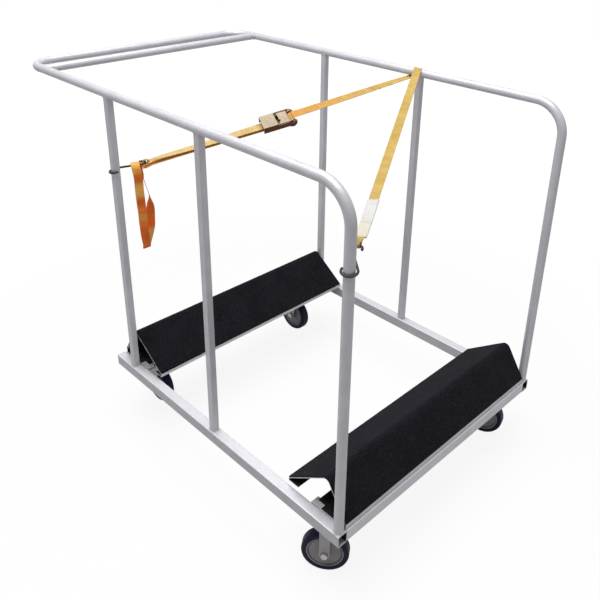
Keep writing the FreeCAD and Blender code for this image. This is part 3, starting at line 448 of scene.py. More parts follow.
class Weave(Effect):
    """Rib and pick relief of flat woven webbing, on its own UV map in metres."""

    name = "webbing_weave"
    inputs = {"Rib": 0.0012, "Pick": 0.0021}
    outputs = ("Height", "Shade")
    CHEVRON = 2.0
    RIB_RELIEF = 0.3
    PICK_RELIEF = 0.4
    SHADE = (-0.6, 0.7)

    def wire(self, work: Wiring, given: Sockets) -> Sockets:
        """Offset every second rib so that the picks form small chevrons.

        Args:
            work: The group's wiring.
            given: Input sockets by name.

        Returns:
            Output sockets by name.
        """
        across, along, _ = work.split(given["Vector"])
        rib = work.sum("DIVIDE", across, given["Rib"])
        pick = work.sum("DIVIDE", along, given["Pick"])
        lean = work.sum("PINGPONG", rib, self.CHEVRON)
        wave = work.sum("SINE", work.times(rib, math.tau))
        thread = work.sum("SINE", work.times(work.sum("ADD", pick, lean), math.tau))
        body = work.sum("ADD", work.times(wave, self.RIB_RELIEF), work.times(thread, self.PICK_RELIEF))
        return {"Height": body, "Shade": work.band(body, *self.SHADE)}


class Spangle(Effect):
    """Cloudy crystals of plated zinc."""

    name = "zinc_spangle"
    inputs = {"Crystal": 260.0}
    outputs = ("Tone", "Height")
    CELL_SHARE = 0.35
    CLOUD_SHARE = 0.65
    CLOUD_CELLS = 0.12
    GRAIN = 1600.0

    def wire(self, work: Wiring, given: Sockets) -> Sockets:
        """Colour each cell and cloud it.

        Args:
            work: The group's wiring.
            given: Input sockets by name.

        Returns:
            Output sockets by name.
        """
        place, crystal = given["Vector"], given["Crystal"]
        cells = work.fit(work.add("ShaderNodeTexVoronoi"), Vector=place, Scale=crystal)
        grey = work.add("ShaderNodeRGBToBW", cells.outputs["Color"]).outputs[0]
        cloud = work.noise(place, work.times(crystal, self.CLOUD_CELLS), 4.0)
        tone = work.sum("ADD", work.times(grey, self.CELL_SHARE), work.times(cloud, self.CLOUD_SHARE))
        return {"Tone": tone, "Height": work.noise(place, self.GRAIN, 1.0)}


@dataclass(frozen=True)
class Cloud:
    """Noisy patches of another colour."""

    scale: float
    detail: float
    rough: float
    reach: Pair

    def over(self, work: Coat, coat: object, share: float, colour: Colour) -> Socket:
        """Lay the patches over a coat."""
        spread = work.noise(work.place, self.scale, self.detail, self.rough)
        return work.cover(coat, work.band(spread, *self.reach), share, colour)


@dataclass(frozen=True)
class Finish:
    """Base of all finishes: a name and a principled material."""

    name: str

    def material(self) -> bpy.types.Material:
        """Build the material.

        Returns:
            The material.
        """
        work = Coat(self.name)
        self.lay(work)
        return work.material

    def lay(self, work: Coat) -> None:
        """Wire the finish into its material."""
        raise NotImplementedError


@dataclass(frozen=True)
class Paint(Finish):
    """Sprayed paint on steel, rubbed at the edges."""

    colour: Colour = (0.5, 0.5, 0.5)
    metal: float = 0.2
    rough: float = 0.40
    wear: float = 0.5
    bare: Colour = (0.42, 0.41, 0.40)
    soft: float = 1.2 * MM
    grime_and_shade: float = 0.75
    soil_and_shade: Colour = (0.035, 0.034, 0.036)
    rub_density: float = 0.66
    rubs: float = 0.16
    dust: float = 0.10
    dusty_and_highlight: Colour = (0.46, 0.43, 0.39)
    peel: float = 0.06 * MM
    tones: Pair = (0.90, 1.05)
    spread: Pair = (-0.06, 0.08)
    dust_matt: float = 0.15

    def tint(self, work: Coat, paint: Socket) -> Socket:
        """Colour of the paint before wear and dust."""
        return paint

    def lay(self, work: Coat) -> None:
        """Wire grain, rubs, painted shade and dirt in hollows, rubbed edges and dust.

        Args:
            work: The material's wiring.
        """
        grain = PaintGrain().place(work, work.place)
        dust = Dust().mask(work)
        dark, light = (tuple(min(1.0, tone * part) for part in self.colour) for tone in self.tones)
        paint = self.tint(work, work.blend(grain["Tone"], dark, light))
        paint = work.cover(paint, Scuffs().mask(work, Density=self.rub_density), self.rubs, self.bare)
        # Darken corners and hollows by near occlusion: painted shade, with some dirt.
        paint = work.cover(paint, CreviceShade().mask(work), self.grime_and_shade, self.soil_and_shade)
        paint = work.cover(paint, EdgeWear().mask(work), self.wear, self.bare)
        paint = work.cover(paint, dust, self.dust, self.dusty_and_highlight)
        gloss = work.gloss(grain["Gloss"], self.rough, self.spread)
        matt = work.sum("ADD", gloss, work.times(dust, self.dust_matt))
        work.finish(Base_Color=paint, Roughness=matt, Metallic=self.metal)
        work.relief(grain["Height"], self.peel, self.soft)


@dataclass(frozen=True)
class FoldedSheet(Paint):
    """Saddle sheet: pale lips and cut edges, black on the inside, the foot and the underside."""

    middle_x: float = 0.0
    half: float = 101.0 * MM
    edge: float = 0.6 * MM
    floor: float = 206.0 * MM
    lip: float = 8.5 * MM
    foot: float = 2.2 * MM
    slope: Pair = (0.15, 0.95)
    square: float = 0.7
    black: Colour = (0.010, 0.010, 0.012)

    def tint(self, work: Coat, paint: Socket) -> Socket:
        """Blacken the inside.

        Args:
            work: The material's wiring.
            paint: Colour of the pale paint.

        Returns:
            The two-tone colour.
        """
        x, _, z = work.split(work.place)
        face_x, face_y, face_z = work.split(work.coords("Normal"))
        within = work.sum("LESS_THAN", work.off(x, self.middle_x), self.half - self.edge)
        sloped = work.times(work.sum("GREATER_THAN", face_z, self.slope[0]),
                            work.sum("LESS_THAN", face_z, self.slope[1]))
        top = work.times(sloped, work.sum("GREATER_THAN", z, self.floor + self.lip))
        cut_end = work.sum("GREATER_THAN", work.sum("ABSOLUTE", face_y), self.square)
        upright = work.sum("GREATER_THAN", work.sum("ABSOLUTE", face_x), self.square)
        cut_foot = work.times(upright, work.sum("LESS_THAN", z, self.floor + self.foot))
        pale = work.sum("MAXIMUM", work.sum("MAXIMUM", top, cut_end), cut_foot)
        return work.blend(work.times(within, work.sum("SUBTRACT", 1.0, pale)), paint, self.black)


@dataclass(frozen=True)
class HollowSection(Paint):
    """Painted rectangular tube, with a painted highlight on its upper corners and tops, and painted shade
    inside the tube.
    """

    along: Axis = Axis.X
    mid: Colour = (0.0, 0.0, 0.0)
    half: Colour = (0.0, 0.0, 0.0)
    wall: float = 1.0 * MM
    # Shares of painted highlight on the upper corners and on the tops.
    corner: float = 0.55
    crown: float = 0.0
    turn: Pair = (0.12, 0.5)
    upward: Pair = (0.3, 0.8)
    square: float = 0.7
    topside: float = 0.6
    highlight_colour: Colour = (0.92, 0.91, 0.97)
    bore_shade: Colour = (0.010, 0.010, 0.011)

    def tint(self, work: Coat, paint: Socket) -> Socket:
        """Paint a highlight on the upper corners and tops, and paint shade inside the tube.

        Args:
            work: The material's wiring.
            paint: Colour of the paint.

        Returns:
            The changed colour.
        """
        spot = work.split(work.place)
        facing = work.split(work.coords("Normal"))
        side = 1 - self.along.value
        # Painted highlight: the upper corners, and by crown the tops, are lightened as if lit from above.
        turned = work.sum("MINIMUM", work.sum("ABSOLUTE", facing[side]), facing[2])
        edge = work.times(work.band(turned, *self.turn), self.corner)
        upper = work.times(work.band(facing[2], *self.upward), self.crown)
        paint = work.blend(work.sum("MAXIMUM", edge, upper), paint, self.highlight_colour)
        # Painted shade: the inside of the tube, except its upward-facing bottom wall, is darkened.
        inside = work.sum("LESS_THAN", work.sum("ABSOLUTE", facing[self.along.value]), self.square)
        inside = work.times(inside, work.sum("LESS_THAN", facing[2], self.topside))
        for index in (side, 2):
            off = work.off(spot[index], self.mid[index])
            inside = work.times(inside, work.sum("LESS_THAN", off, self.half[index] - self.wall))
        return work.blend(inside, paint, self.bore_shade)


@dataclass(frozen=True)
class Zinc(Finish):
    """Plated steel, clear or yellow passivated."""

    first: Colour = (0.55, 0.56, 0.57)
    second: Colour = (0.72, 0.72, 0.71)
    rough: float = 0.30
    metal: float = 0.85
    shine: float = 0.5
    soft: float = 0.6 * MM
    grime_and_shade: float = 0.6
    soil_and_shade: Colour = (0.05, 0.045, 0.04)
    wear: float = 0.45
    bare: Colour = (0.78, 0.78, 0.77)
    rub_density: float = 0.62
    rubs: float = 0.25
    scuff: Colour = (0.30, 0.29, 0.27)
    depth: float = 0.03 * MM
    edge: float = 0.8 * MM
    spread: Pair = (-0.05, 0.12)
    rub_matt: float = 0.15

    def tint(self, work: Coat, plate: Socket) -> Socket:
        """Colour of the plating before wear."""
        return plate

    def lay(self, work: Coat) -> None:
        """Wire crystals, painted shade and dirt in hollows, rubbed edges and rubs.

        Args:
            work: The material's wiring.
        """
        zinc = Spangle().place(work, work.place)
        rubbed = Scuffs().mask(work, Density=self.rub_density)
        tone = work.band(zinc["Tone"], *NOISE_RANGE)
        plate = self.tint(work, work.blend(tone, self.first, self.second))
        # Darken corners and hollows by near occlusion: painted shade, with some dirt.
        plate = work.cover(plate, CreviceShade().mask(work), self.grime_and_shade, self.soil_and_shade)
        plate = work.cover(plate, EdgeWear().mask(work, Radius=self.edge), self.wear, self.bare)
        plate = work.cover(plate, rubbed, self.rubs, self.scuff)
        gloss = work.gloss(zinc["Tone"], self.rough, self.spread)
        matt = work.sum("ADD", gloss, work.times(rubbed, self.rub_matt))
        work.finish(Base_Color=plate, Roughness=matt, Metallic=self.metal, Specular_IOR_Level=self.shine)
        work.relief(zinc["Height"], self.depth, self.soft)


@dataclass(frozen=True)
class SidedZinc(Zinc):
    """Plated sheet whose flat sides are painted dark brown, as painted shade with the strap's orange
    reflection.
    """

    side: Colour = (1.0, 0.0, 0.0)
    side_shade: Colour = (0.14, 0.042, 0.010)
    scuff: Colour = (0.21, 0.115, 0.06)
    turn: Pair = (0.70, 0.85)

    def tint(self, work: Coat, plate: Socket) -> Socket:
        """Darken the faces that look sideways, as painted shade and reflection."""
        turned = work.sum("ABSOLUTE", work.dot(work.coords("Normal"), self.side))
        return work.blend(work.band(turned, *self.turn), plate, self.side_shade)


@dataclass(frozen=True)
class Moulded(Finish):
    """Rubber, plastic or thread with a fine matt skin."""

    colour: Colour = (0.1, 0.1, 0.1)
    dusty_and_highlight: Colour = (0.2, 0.2, 0.2)
    rough: float = 0.55
    grain: float = 1200.0
    mottle: float = 40.0
    depth: float = 0.08 * MM
    soft: float = 0.8 * MM
    rubs: float = 0.22
    edges: float = 0.30
    shine: float = 0.5
    dark: float = 0.80
    rub_density: float = 0.60
    edge: float = 2.0 * MM
    edge_cells: float = 300.0
    spread: Pair = (-0.08, 0.10)

    def lay(self, work: Coat) -> None:
        """Wire grain, rubs and rubbed edges, which also carry painted highlights.

        Args:
            work: The material's wiring.
        """
        grain = PaintGrain().place(work, work.place, Peel=self.grain, Mottle=self.mottle)
        skin = work.blend(grain["Tone"], tuple(self.dark * part for part in self.colour), self.colour)
        skin = work.cover(skin, Scuffs().mask(work, Density=self.rub_density), self.rubs, self.dusty_and_highlight)
        # Lightened edges: wear, and on the hub mostly a painted highlight on its chamfers.
        worn_and_lit = EdgeWear().mask(work, Radius=self.edge, Break=self.edge_cells)
        skin = work.cover(skin, worn_and_lit, self.edges, self.dusty_and_highlight)
        gloss = work.gloss(grain["Gloss"], self.rough, self.spread)
        work.finish(Base_Color=skin, Roughness=gloss, Specular_IOR_Level=self.shine)
        work.relief(grain["Height"], self.depth, self.soft)


@dataclass(frozen=True)
class Pile(Finish):
    """Short looped carpet."""

    root: Colour = (0.0012, 0.0012, 0.0020)
    tip: Colour = (0.015, 0.015, 0.021)
    laid: Colour = (0.022, 0.022, 0.034)
    patched: Colour = (0.030, 0.030, 0.042)
    lint: Colour = (0.14, 0.135, 0.14)
    sheen: Colour = (0.62, 0.62, 0.80)
    loop: float = 420.0
    hair: float = 2600.0
    depth: float = 1.1 * MM
    laid_share: float = 0.22
    patch_share: float = 0.45
    lint_share: float = 0.30
    hair_relief: float = 0.4

    LAID = Cloud(11.0, 4.0, 0.6, (0.35, 0.68))
    PATCHES = Cloud(150.0, 3.0, 0.7, (0.50, 0.72))
    LINT = Cloud(900.0, 3.0, 0.8, (0.70, 0.75))
    CROWN = (0.0, 0.75, 1.0, 0.0)
    HAIR = (0.25, 0.75, 0.35, 1.0)

    def lay(self, work: Coat) -> None:
        """Wire loops, hair, trodden patches and lint.

        Args:
            work: The material's wiring.
        """
        place = work.place
        loops = work.fit(work.add("ShaderNodeTexVoronoi"), Vector=place, Scale=self.loop)
        crown = work.band(loops.outputs["Distance"], *self.CROWN)
        hair = work.noise(place, self.hair)
        tuft = work.times(crown, work.band(hair, *self.HAIR))
        shade = work.blend(tuft, self.root, self.tip)
        shade = self.LAID.over(work, shade, self.laid_share, self.laid)
        shade = self.PATCHES.over(work, shade, self.patch_share, self.patched)
        shade = self.LINT.over(work, shade, self.lint_share, self.lint)
        work.finish(Base_Color=shade, Roughness=0.96, Specular_IOR_Level=0.12, Sheen_Weight=0.05,
                    Sheen_Roughness=0.45, Sheen_Tint=self.sheen)
        work.relief(work.sum("ADD", crown, work.times(hair, self.hair_relief)), self.depth)


@dataclass(frozen=True)
class Webbing(Finish):
    """Woven polyester band, on the piece's UV map in metres."""

    thread: Colour = (0.76, 0.50, 0.11)
    valley: Colour = (0.42, 0.20, 0.03)
    faded_and_highlight: Colour = (0.84, 0.64, 0.26)
    rib: float = 1.2 * MM
    pick: float = 2.1 * MM
    fade: float = 0.5
    crease_and_light: float = 0.25
    late: Pair = (9.0, 10.0)
    late_colour: Colour = (0.70, 0.30, 0.04)
    late_share: float = 0.75
    sheen: float = 0.18
    grime_and_shade: float = 0.16
    soil_and_shade: Colour = (0.20, 0.12, 0.05)
    depth: float = 0.35 * MM
    light_bands: tuple[Pair, ...] = ()
    faint: float = 0.2
    light_band_edge: Pair = (8.0 * MM, -5.0 * MM)

    FADING = Cloud(18.0, 4.0, 0.6, (0.35, 0.68))
    GRIME = Cloud(70.0, 5.0, 0.7, (0.58, 0.78))
    CREASES = (6.0, 42.0, 0.0)
    CREASE_RANGE = (0.44, 0.62)
    ROUGH = (0.0, 1.0, 0.78, 0.56)

    def lay(self, work: Coat) -> None:
        """Wire the weave, its fading, creases, painted light bands and dirt.

        Args:
            work: The material's wiring.
        """
        across = work.add("ShaderNodeUVMap", uv_map="weave").outputs[0]
        along = work.split(across)[1]
        weave = Weave().place(work, across, Rib=self.rib, Pick=self.pick)
        cloth = work.blend(weave["Shade"], self.valley, self.thread)
        cloth = self.FADING.over(work, cloth, self.fade, self.faded_and_highlight)
        cloth = work.cover(cloth, work.band(along, *self.late), self.late_share, self.late_colour)
        bands = work.band(work.noise(work.stretch(across, self.CREASES), 1.0), *self.CREASE_RANGE)
        # Painted light: paler bands where the tail's bends catch the light, and a paler stretch where it lies
        # in the fixed run's shade.
        if self.light_bands:
            bands = work.times(bands, self.faint)
        for at, half in self.light_bands:
            edge = work.band(work.off(along, at), half + self.light_band_edge[0], half + self.light_band_edge[1])
            bands = work.sum("MAXIMUM", bands, edge)
        cloth = work.cover(cloth, bands, self.crease_and_light, self.faded_and_highlight)
        cloth = self.GRIME.over(work, cloth, self.grime_and_shade, self.soil_and_shade)
        work.finish(Base_Color=cloth, Roughness=work.band(weave["Shade"], *self.ROUGH),
                    Sheen_Weight=self.sheen, Sheen_Roughness=0.4)
        work.relief(weave["Height"], self.depth)


@dataclass(frozen=True)
class StageWhite(Finish):
    """Pale studio floor that stays white to the camera away from the shadow."""

    colour: Colour = (0.55, 0.55, 0.55)
    rough: float = 0.9
    gloss: float = 0.4
    white: float = 0.84
    glow: float = 1.07
    near: float = 1.1
    far: float = 3.0

    def lay(self, work: Coat) -> None:
        """Wire the floor's white, which grows with the distance from the object.

        Args:
            work: The material's wiring.
        """
        work.finish(Base_Color=self.colour, Roughness=self.rough)
        glow = work.fit(work.add("ShaderNodeEmission"), Color=(1.0, 1.0, 1.0), Strength=self.glow)
        span = work.add("ShaderNodeVectorMath", work.place, operation="LENGTH").outputs["Value"]
        white = work.band(span, self.near, self.far, self.white, 1.0)
        mixed = work.add("ShaderNodeMixShader", work.times(work.surround(self.gloss), white),
                         work.shader.outputs[0], glow.outputs[0])
        work.fit(work.tree.nodes["Material Output"], Surface=mixed.outputs[0])


class Palette:
    """All finishes of the cart, each made once."""

    FRAME: Colour = (0.60, 0.595, 0.64)
    SHEET: Colour = (0.72, 0.72, 0.75)
    PLATE: tuple[Colour, Colour] = ((0.20, 0.16, 0.105), (0.36, 0.305, 0.22))
    FINE: Pair = (0.8 * MM, 0.8 * MM)
    FINISHES: tuple[Finish, ...] = (
        Paint("frame_paint", FRAME, metal=0.22, rough=0.36, grime_and_shade=0.5),
        Paint("saddle_paint", SHEET, metal=0.18, rough=0.38, grime_and_shade=0.35),
        # Pads are a darker grey than the frame, as painted shade under the saddles.
        Paint("pad_paint", (0.30, 0.30, 0.32), metal=0.2, rough=0.5),
        Zinc("castor_zinc", (0.28, 0.255, 0.26), (0.38, 0.355, 0.36), rough=0.42),
        Zinc("bolt_zinc", (0.50, 0.50, 0.49), (0.68, 0.68, 0.66), rough=0.28),
        Zinc("ratchet_copper", (0.40, 0.19, 0.075), (0.62, 0.33, 0.14), rough=0.40, metal=0.45, shine=0.25),
        # The hub's pale edges are painted highlights on its chamfers, over a little wear.
        Moulded("hub_plastic", (0.30, 0.28, 0.295), (0.60, 0.58, 0.60), rough=0.50, rubs=0.10, edges=0.55),
        Moulded("tyre_rubber", (0.0015, 0.002, 0.030), (0.02, 0.025, 0.10), rough=0.42, rubs=0.10, shine=0.2),
        Moulded("hook_black", (0.008, 0.008, 0.009), (0.09, 0.09, 0.09), rough=0.30),
        Pile("carpet"),
        Webbing("strap_webbing", (0.585, 0.39, 0.064), (0.36, 0.19, 0.024), (0.68, 0.50, 0.15),
                late=(1.10, 1.34)),
        Webbing("fixed_webbing", (0.74, 0.54, 0.20), (0.46, 0.27, 0.06), (0.80, 0.65, 0.34)),
        Webbing("rear_webbing", (0.72, 0.34, 0.05), (0.36, 0.12, 0.02), (0.82, 0.48, 0.13)),
        # The tail's light bands are painted light: highlights at its bends, and a paler stretch in the fixed
        # run's shade.
        Webbing("tail_webbing", (1.0, 0.185, 0.003), (0.97, 0.125, 0.002), (1.0, 0.56, 0.11), fade=0.05,
                crease_and_light=0.80, sheen=0.0, grime_and_shade=0.02,
                light_bands=((0.24, 0.23), (0.500, 0.019), (0.572, 0.024), (0.660, 0.010), (0.808, 0.020))),
        Webbing("sleeve_fabric", (0.84, 0.83, 0.80), (0.62, 0.61, 0.58), (0.88, 0.87, 0.85), *FINE),
        Webbing("sleeve_cream", (0.88, 0.82, 0.67), (0.66, 0.58, 0.42), (0.90, 0.86, 0.76), *FINE),
        Moulded("stitch_thread", (0.42, 0.16, 0.03), (0.55, 0.30, 0.08), rough=0.7, grain=2400.0, soft=0.0),
        StageWhite("studio_floor"),
    )

    def __init__(self) -> None:
        """Build every material."""
        self.made = {finish.name: finish.material() for finish in self.FINISHES}

    def add(self, finish: Finish) -> str:
        """Build one more finish and return its name."""
        self.made[finish.name] = finish.material()
        return finish.name

    def dress(self, piece: Piece, *names: str) -> None:
        """Give a piece its materials.

        Args:
            piece: The piece.
            names: Finishes in slot order.
        """
        piece.data.materials.clear()
        for name in names:
            piece.data.materials.append(self.made[name])


class Bench:
    """Modelling steps shared by the pieces."""

    DOUBLES = 0.005 * MM

    @staticmethod
    def clear() -> None:
        """Leave edit mode and deselect everything."""
        if bpy.context.object and bpy.context.object.mode != "OBJECT":
            bpy.ops.object.mode_set(mode="OBJECT")
        bpy.ops.object.select_all(action="DESELECT")

    @staticmethod
    def only(piece: Piece) -> None:
        """Select one piece and make it active.

        Args:
            piece: The piece.
        """
        Bench.clear()
        piece.select_set(True)
        bpy.context.view_layer.objects.active = piece

    @staticmethod
    def name(piece: Piece, label: str) -> Piece:
        """Name a piece and its mesh.

        Args:
            piece: The piece.
            label: Its name.

        Returns:
            The piece.
        """
        piece.name = label
        piece.data.name = label
        return piece

    @staticmethod
    def settle(piece: Piece) -> None:
        """Apply a piece's modifiers and place, so that it sits at the origin.

        Args:
            piece: The piece.
        """
        Bench.only(piece)
        for modifier in list(piece.modifiers):
            bpy.ops.object.modifier_apply(modifier=modifier.name)
        bpy.ops.object.transform_apply(location=True, rotation=True, scale=True)

    @staticmethod
    def smooth(piece: Piece, degrees: float) -> None:
        """Shade a piece smooth below an angle."""
        Bench.only(piece)
        bpy.ops.object.shade_smooth_by_angle(angle=math.radians(degrees))

    @staticmethod
    def outward(piece: Piece, merge: bool = True) -> None:
        """Point a piece's faces outwards.

        Args:
            piece: The piece.
            merge: Merge doubles first.
        """
        Bench.only(piece)
        bpy.ops.object.mode_set(mode="EDIT")
        bpy.ops.mesh.select_all(action="SELECT")
        if merge:
            bpy.ops.mesh.remove_doubles(threshold=Bench.DOUBLES)
        bpy.ops.mesh.normals_make_consistent(inside=False)
        bpy.ops.object.mode_set(mode="OBJECT")

    @staticmethod
    def copy(piece: Piece, label: str, move: Matrix) -> Piece:
        """Copy a piece with its own mesh.

        Args:
            piece: The piece to copy.
            label: Name of the copy.
            move: Transform baked into the copy's mesh.

        Returns:
            The copy.
        """
        twin = piece.copy()
        twin.data = piece.data.copy()
        bpy.context.scene.collection.objects.link(twin)
        twin.data.transform(move)
        return Bench.name(twin, label)

    @staticmethod
    def merge(pieces: list[Piece], label: str) -> Piece:
        """Join pieces into one.

        Args:
            pieces: The pieces.
            label: Name of the joined piece.

        Returns:
            The joined piece.
        """
        Bench.clear()
        for piece in pieces:
            piece.select_set(True)
        bpy.context.view_layer.objects.active = pieces[0]
        bpy.ops.object.join()
        return Bench.name(pieces[0], label)


def smooth_line(controls: Points, steps: int) -> Points:
    """Read points from a route's NURBS spline.

    Args:
        controls: Control points in metres.
        steps: Points for each control point.

    Returns:
        Points in order along the spline.
    """
    curve = bpy.data.curves.new("route", "CURVE")
    curve.dimensions = "3D"
    spline = curve.splines.new("NURBS")
    spline.points.add(len(controls) - 1)
    for point, control in zip(spline.points, controls):
        point.co = (*control, 1.0)
    spline.order_u = 3
    spline.use_endpoint_u = True
    spline.resolution_u = steps
    holder = bpy.data.objects.new("route", curve)
    bpy.context.scene.collection.objects.link(holder)
    bpy.context.view_layer.update()
    mesh = bpy.data.meshes.new_from_object(holder)
    found = [vertex.co.copy() for vertex in mesh.vertices]
    bpy.data.objects.remove(holder)
    bpy.data.curves.remove(curve)
    bpy.data.meshes.remove(mesh)
    return found


@dataclass
class Band:
    """Flat band of woven webbing along a route."""

    label: str
    route: Points
    across: Points
    width: float
    thick: float
    widths: list[float] = field(default_factory=list)
    steps: int = 12
    reach: list[float] = field(default_factory=list)
    path: Points = field(default_factory=list)

    SMOOTH = 50.0
    SECTION = ((-1.0, 0.25), (-0.97, 0.52), (-0.90, 0.56), (-0.6, 0.46), (0.0, 0.46), (0.6, 0.46),
               (0.90, 0.56), (0.97, 0.52), (1.0, 0.25), (1.0, -0.25), (0.97, -0.52), (0.90, -0.56),
               (0.6, -0.46), (0.0, -0.46), (-0.6, -0.46), (-0.90, -0.56), (-0.97, -0.52), (-1.0, -0.25))

    def build(self) -> Piece:
        """Sweep the webbing's section along its route.

        Returns:
            The band with a UV map in metres.
        """
        self.path = smooth_line(self.route, self.steps)
        self.reach = [0.0]
        for first, second in zip(self.path, self.path[1:]):
            self.reach.append(self.reach[-1] + (second - first).length)
        count, rings = len(self.SECTION), len(self.path)
        faces = [tuple(range(count))[::-1], tuple(range((rings - 1) * count, rings * count))]
        for ring in range(rings - 1):
            for corner in range(count):
                near, far = ring * count + corner, ring * count + (corner + 1) % count
                faces.append((near, far, far + count, near + count))
        mesh = bpy.data.meshes.new(self.label)
        mesh.from_pydata([tuple(vertex) for vertex in self.corners()], [], faces)
        layer = mesh.uv_layers.new(name="weave")
        for loop in mesh.loops:
            ring, corner = divmod(loop.vertex_index, count)
            layer.data[loop.index].uv = (self.SECTION[corner][0] * self.width / 2.0, self.reach[ring])
        piece = bpy.data.objects.new(self.label, mesh)
        bpy.context.scene.collection.objects.link(piece)
        Bench.outward(piece, merge=False)
        Bench.smooth(piece, self.SMOOTH)
        return piece

    def corners(self) -> Points:
        """Corners of every section, in order along the path.

        Returns:
            The corners.
        """
        sides = smooth_line(self.across, self.steps)
        shares = self.widths or [1.0] * len(self.route)
        scale = smooth_line([Vector((share, 0.0, 0.0)) for share in shares], self.steps)
        found: Points = []
        for index, point in enumerate(self.path):
            before = self.path[max(index - 1, 0)]
            after = self.path[min(index + 1, len(self.path) - 1)]
            forward = (after - before).normalized()
            side = (sides[index] - forward * sides[index].dot(forward)).normalized()
            up = forward.cross(side)
            half = self.width / 2.0 * scale[index].x
            found += [point + side * (a * half) + up * (b * self.thick) for a, b in self.SECTION]
        return found

    @property
    def length(self) -> float:
        """Real length of the band in metres."""
        return self.reach[-1]


def boxed(node: str) -> tuple[Vector, Vector]:
    """Lowest and highest corner of a CAD node."""
    low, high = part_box(node)
    return Vector(low), Vector(high)


def middle(node: str) -> Vector:
    """Middle of a CAD node's box."""
    low, high = boxed(node)
    return (low + high) / 2.0


@dataclass
class SaddleCarpet:
    """Carpet stretched over one saddle, from lip to lip."""

    palette: Palette
    end: str
    line_x: float
    inward: float
    top: float
    overlap: float = 10.0 * MM
    lip: float = 12.0 * MM
    inner_lip: float = 20.0 * MM
    apex: float = 57.0 * MM
    rise: float = 116.0 * MM
    depth: float = 192.0 * MM
    radius: float = 14.0 * MM
    margin: float = 1.5 * MM
    thick: float = 3.8 * MM
    cut_edge: float = 1.0 * MM
    cut_angle: float = 60.0
    smooth: float = 50.0
    lump: float = 12.0 * MM
    lump_height: float = 0.5 * MM
    half: float = 403.0 * MM
    outer_steps: int = 14
    bend_steps: int = 12
    inner_steps: int = 18
    rows: int = 110

    def profile(self) -> list[Pair]:
        """Line of the carpet's back over the sheet, from outer to inner lip.

        Returns:
            Inward distance and height of each point.
        """
        out = math.atan2(self.rise - self.lip, self.apex + self.overlap)
        inn = math.atan2(self.rise - self.inner_lip, self.depth - self.apex)
        reach = self.radius * math.tan((out + inn) / 2.0)
        start = (self.apex - reach * math.cos(out), self.rise - reach * math.sin(out))
        centre = (start[0] + self.radius * math.sin(out), start[1] - self.radius * math.cos(out))
        stop = (self.apex + reach * math.cos(inn), self.rise - reach * math.sin(inn))
        low_out = (self.margin - self.overlap, self.lip + self.margin * math.tan(out))
        low_in = (self.depth - self.margin, self.inner_lip + self.margin * math.tan(inn))
        points = [self.part(low_out, start, step / self.outer_steps) for step in range(self.outer_steps)]
        for step in range(self.bend_steps + 1):
            turn = math.pi / 2.0 + out - (out + inn) * step / self.bend_steps
            points.append((centre[0] + self.radius * math.cos(turn),
                           centre[1] + self.radius * math.sin(turn)))
        steps = range(1, self.inner_steps + 1)
        return points + [self.part(stop, low_in, step / self.inner_steps) for step in steps]

    @staticmethod
    def part(first: Pair, last: Pair, share: float) -> Pair:
        """Point between two points."""
        return first[0] + (last[0] - first[0]) * share, first[1] + (last[1] - first[1]) * share

    def sheet(self, line: list[Pair]) -> Piece:
        """Lay the carpet's back as one sheet.

        Args:
            line: Its profile.

        Returns:
            The sheet, without thickness.
        """
        Bench.clear()
        columns = len(line) - 1
        bpy.ops.mesh.primitive_grid_add(x_subdivisions=columns, y_subdivisions=self.rows, size=1.0)
        piece = bpy.context.object
        for vertex in piece.data.vertices:
            across, up = line[round((vertex.co.x + 0.5) * columns)]
            vertex.co = Vector((self.line_x + self.inward * across, vertex.co.y * 2.0 * self.half,
                                self.top + up))
        Bench.outward(piece)
        return piece

    def build(self) -> None:
        """Lay the carpet and give it its pile."""
        line = self.profile()
        piece = self.sheet(line)
        wall = piece.modifiers.new("thickness", "SOLIDIFY")
        wall.thickness = self.thick
        wall.offset = 1.0
        shell = piece.modifiers.new("cut_edge", "BEVEL")
        shell.width = self.cut_edge
        shell.segments = 2
        shell.limit_method = "ANGLE"
        shell.angle_limit = math.radians(self.cut_angle)
        Bench.settle(piece)
        lumps = bpy.data.textures.new(self.end + "_pile_lumps", "CLOUDS")
        lumps.noise_scale = self.lump
        rough = piece.modifiers.new("lumps", "DISPLACE")
        rough.texture = lumps
        rough.texture_coords = "GLOBAL"
        rough.strength = self.lump_height
        rough.mid_level = 0.5
        Bench.settle(piece)
        Bench.smooth(piece, self.smooth)
        Bench.name(piece, self.end + "_carpet_cover")
        self.palette.dress(piece, "carpet")
        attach(piece, "cart_frame")
        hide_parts(self.end + "_carpet")


